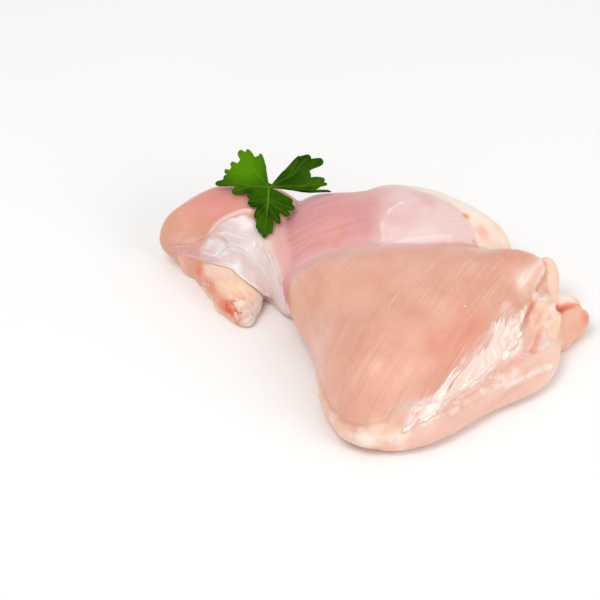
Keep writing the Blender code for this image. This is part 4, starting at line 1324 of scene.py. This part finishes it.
# Each web and each tooth: its direction in degrees, its reach and half its spread in degrees.
LEAF_WEBS = (
    (33, 14.2, 14), (20, 13.0, 12), (3, 15.2, 9.5), (118, 9.8, 15), (127, 12.7, 10), (137, 12.2, 12),
    (154, 12.9, 15), (171, 14.0, 8.5), (186, 10.4, 14), (222, 7.4, 24), (266, 9.2, 24), (266, 14.8, 14),
    (303, 9.6, 26),
)
LEAF_TEETH = (
    (44, 12.8, 6), (37, 15.4, 8), (28, 18.2, 8), (7, 16.8, 6.5), (2, 17.4, 4), (-6.5, 18.7, 2),
    (106, 10.2, 7), (122, 13.0, 7), (130, 14.4, 8), (147.5, 13.7, 8), (161, 14.2, 6), (174.5, 16.2, 5.5),
    (190, 11.3, 9), (212, 7.6, 7), (229, 9.3, 8), (238, 10.0, 8), (252.5, 12.9, 5.5), (258, 15.9, 4.5),
    (262, 17.5, 5), (267, 19.7, 5), (272, 18.0, 5.5), (283, 14.1, 6), (299, 12.1, 8), (311, 11.4, 9),
    (322, 9.0, 7),
)


def leaf_reach(theta):
    """How far the leaf reaches from its heart each way: the furthest of its webs and teeth there."""
    reach = np.full(theta.shape, 1.2)
    for fingers, squareness in ((LEAF_WEBS, 6), (LEAF_TEETH, 3)):
        for degrees, length, half_spread in fingers:
            away = (theta - math.radians(degrees) + math.pi) % TURN - math.pi
            across = np.minimum(np.abs(away) / math.radians(half_spread), 1.0)
            reach = np.maximum(reach, length * (1 - across**squareness) ** 0.4)
    return reach


def at_angle(degrees, length):
    """The flat leaf's place at a length from its heart in a direction."""
    return np.array((length * math.cos(math.radians(degrees)), length * math.sin(math.radians(degrees)), 0.0))


# How many points the rim has, how far apart those inside it are, and half the square that they fill.
RIM_POINTS = 720
LEAF_MESH = 0.35
LEAF_HALF = 24
theta = np.linspace(0, TURN, RIM_POINTS, endpoint=False)
rim = leaf_reach(theta)[:, None] * np.column_stack((np.cos(theta), np.sin(theta)))
# Inside it the points stand in rows, each shifted by half a step, so that the triangles are even.
steps = np.arange(-LEAF_HALF, LEAF_HALF, LEAF_MESH)
row_x, row_y = np.meshgrid(steps, steps * math.sin(math.radians(60)))
row_x = row_x + LEAF_MESH / 2 * (np.arange(len(steps)) % 2)[:, None]
inner = np.column_stack((row_x.ravel(), row_y.ravel()))
room = leaf_reach(np.arctan2(inner[:, 1], inner[:, 0])) - np.hypot(inner[:, 0], inner[:, 1])
flat = np.concatenate((rim, inner[room > LEAF_MESH / 2]))
loop = [(k, (k + 1) % RIM_POINTS) for k in range(RIM_POINTS)]
places, _, faces, _, _, _ = geometry.delaunay_2d_cdt([Vector(place) for place in flat], loop, [], 1, 1e-6)
flat = np.column_stack((np.array(places), np.zeros(len(places))))
print("leaf:", len(flat), "points,", len(faces), "triangles")

# %% Run the veins
# Each rib: its direction, its length and the teeth that its side veins run to.
RIBS = ((30, 16, (44, 37)), (4, 15, (7, 2)), (130, 13, (106, 122, 147.5, 161)), (174, 14, (190,)),
        (267, 18, ()), (267, 9, (229, 238, 252.5, 258, 283, 299, 311)))
# The ribs taper by this much for each millimetre of their length.
RIB_TAPER = 0.012
rib_distance = np.full(len(flat), 9.0)
vein_distance = np.full(len(flat), 9.0)
for degrees, length, teeth in RIBS:
    away, run, _ = to_line(flat, [(0, 0, 0), at_angle(degrees, length)])
    rib_distance = np.minimum(rib_distance, away + RIB_TAPER * run)
    for tooth in teeth:
        tip = at_angle(tooth, 0.9 * float(leaf_reach(np.radians([tooth]))[0]))
        start = at_angle(degrees, 0.55 * float(tip @ at_angle(degrees, 1)))
        vein_distance = np.minimum(vein_distance, to_line(flat, [start, tip])[0])
from_veins = np.minimum(rib_distance, vein_distance)
print("side veins:", sum(len(teeth) for _, _, teeth in RIBS))

# %% Map the meat's height
# A map of the meat's highest level in each square of its plan says where the leaf would touch it.
MAP_SQUARE = 0.8
map_corner = points[:, :2].min(axis=0) - 2 * MAP_SQUARE
square = ((points[:, :2] - map_corner) / MAP_SQUARE).astype(int)
level = np.zeros(square.max(axis=0) + 4)
np.maximum.at(level, tuple(square.T), points[:, 2])
print("height map:", level.shape)


def level_at(x, y):
    """The map's level at places, blended between the four squares round each."""
    spots = (np.column_stack((x, y)) - map_corner) / MAP_SQUARE - 0.5
    spots = np.clip(spots, 0, np.array(level.shape) - 2)
    i, j = np.floor(spots).astype(int).T
    s, t = (spots - np.floor(spots)).T
    return ((1 - s) * ((1 - t) * level[i, j] + t * level[i, j + 1])
            + s * ((1 - t) * level[i + 1, j] + t * level[i + 1, j + 1]))


# %% Lay the leaf on the meat
# The blade's slope towards the back, how much steeper it gets behind the heart and over what distance it
# bends, and by how much its plan is shorter than the flat blade.
SLOPE, BEND, BEND_LENGTH, FORESHORTENING = 0.24, 0.36, 4.0, 0.93
# How far the blade's middle stays over the map, and how softly it passes from lying to standing free.
CLEARANCE, SOFTNESS = 0.8, 0.4
LEAF_THICKNESS = 0.35

flat_x, flat_y, _ = flat.T
leaf_x = LEAF_HEART[0] + flat_x
leaf_y = LEAF_HEART[1] + flat_y * FORESHORTENING
bend = (np.hypot(flat_y, BEND_LENGTH) + flat_y) / 2
wave = np.sin(0.5 * flat_x + 0.35 * flat_y) * np.hypot(flat_x, flat_y) / 30
free = LEAF_HEART[2] + SLOPE * flat_y + BEND * bend + wave
lying = level_at(leaf_x, leaf_y) + CLEARANCE
# The higher of the two, blended where they are near each other.
leaf_z = (free + lying + np.hypot(free - lying, SOFTNESS)) / 2
leaf_z = leaf_z + 0.25 * step(from_veins, 0, 1.4) + 0.12 * noise(flat, 2.5, 51)
leaf = one_mesh("leaf", [(np.column_stack((leaf_x, leaf_y, leaf_z)), faces)])
# The middle leaflet's rib is the palest, and the left leaflet is the brightest.
store(leaf.data, "rib", step(rib_distance, 0.32, 0.06) * (0.25 + 0.75 * step(flat_y, 1, -2)))
store(leaf.data, "vein", step(vein_distance, 0.3, 0.05))
store(leaf.data, "bright", step(np.hypot(flat_x + 8, flat_y - 7), 10, 2))
wall_of_leaf = leaf.modifiers.new("thickness", "SOLIDIFY")
wall_of_leaf.thickness = LEAF_THICKNESS * MM
wall_of_leaf.offset = 0.0
leaf.data.shade_smooth()
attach(leaf, "root")
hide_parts("parsley")
print("the leaf's highest point:", round(float(leaf_z.max()), 1), "mm")

# %% [markdown]
# ## Fresh parsley leaf
# A parsley leaf is dark, fresh green, lighter towards its left side, with pale ribs. Its skin is matt, so it
# has hardly any highlight, and its small cells break up what is left of it.

# %% Finish the leaf
# Living leaf, grown and only washed: a dull surface that lets a little green light through.
tree, shader, place, part = new_material("fresh_parsley_leaf", leaf, {
    "IOR": 1.4, "Roughness": 0.5, "Specular IOR Level": 0.05, "Subsurface Weight": 0.05,
    "Subsurface Radius": (0.3, 1.0, 0.1), "Subsurface Scale": 0.001,
}, ("rib", "vein", "bright"))
# Clouds of 5 mm, and cells of 0.7 mm, which is coarser than real ones, so that they show.
clouds = cloudiness(tree, place, 200.0, 3.0)
cells = add(tree, "ShaderNodeTexVoronoi", {}, {"Vector": place, "Scale": 1400.0}).outputs["Distance"]
cloudy = add(tree, "ShaderNodeMapRange", {}, {"Value": clouds, "From Min": 0.35, "From Max": 0.65}).outputs[0]
veiny = add(tree, "ShaderNodeMath", {"operation": "MULTIPLY"}, {0: part["vein"], 1: 0.3}).outputs[0]
coats = ((cloudy, "#345c00"), (part["bright"], "#4f8500"), (veiny, "#5c8a14"), (part["rib"], "#6f9a2a"))
shade = coated(tree, "#204000", coats)
tree.links.new(shade, shader.inputs["Base Color"])
bump = add(tree, "ShaderNodeBump", {}, {"Height": cells, "Strength": 0.3, "Distance": 0.0001}).outputs[0]
tree.links.new(bump, shader.inputs["Normal"])
print("finished:", leaf.data.materials[0].name)

# %% [markdown]
# ## Table and light
# The table is a plain pale top. A bright room, a large softbox above and a weaker one from the right give
# the even light of the photograph, with a soft shadow under the meat.

# %% Lay the table
FLOOR = 3.0
mesh = bpy.data.meshes.new("table")
corners = [(-FLOOR, -FLOOR, 0), (FLOOR, -FLOOR, 0), (FLOOR, FLOOR, 0), (-FLOOR, FLOOR, 0)]
mesh.from_pydata(corners, [], [(0, 1, 2, 3)])
table = in_scene("table", mesh)
# A painted tabletop, matt and nearly white, with faint clouds of 125 mm.
tree, shader, place, _ = new_material("pale_tabletop", table, {"Roughness": 0.6})
clouds = cloudiness(tree, place, 8.0, 2.0)
shade = coated(tree, "#f7f7f6", [(clouds, "#fbfbfa")])
tree.links.new(shade, shader.inputs["Base Color"])
print("table:", 2 * FLOOR, "m wide")

# %% Light it
# Each softbox: its place and its side in metres, and its power in watts.
SOFTBOXES = {"key": ((-0.25, -0.3, 0.82), 0.4, 2.6), "fill": ((0.6, -0.45, 0.45), 0.5, 1.8)}
ROOM_STRENGTH = 0.7


def softbox(name, place, side, power):
    """A square lamp at a place, in metres, turned to the middle of the table."""
    lamp = bpy.data.lights.new(name, "AREA")
    lamp.size = side
    lamp.energy = power
    holder = in_scene(name, lamp)
    holder.location = place
    holder.rotation_euler = (-Vector(place)).to_track_quat("-Z", "Y").to_euler()


for name, values in SOFTBOXES.items():
    softbox(name, *values)
world = bpy.data.worlds.new("studio")
world.use_nodes = True
bpy.context.scene.world = world
world.node_tree.nodes["Background"].inputs["Color"].default_value = (1, 1, 1, 1)
world.node_tree.nodes["Background"].inputs["Strength"].default_value = ROOM_STRENGTH
bpy.context.scene.view_settings.view_transform = "Standard"
print("softboxes:", len(SOFTBOXES))
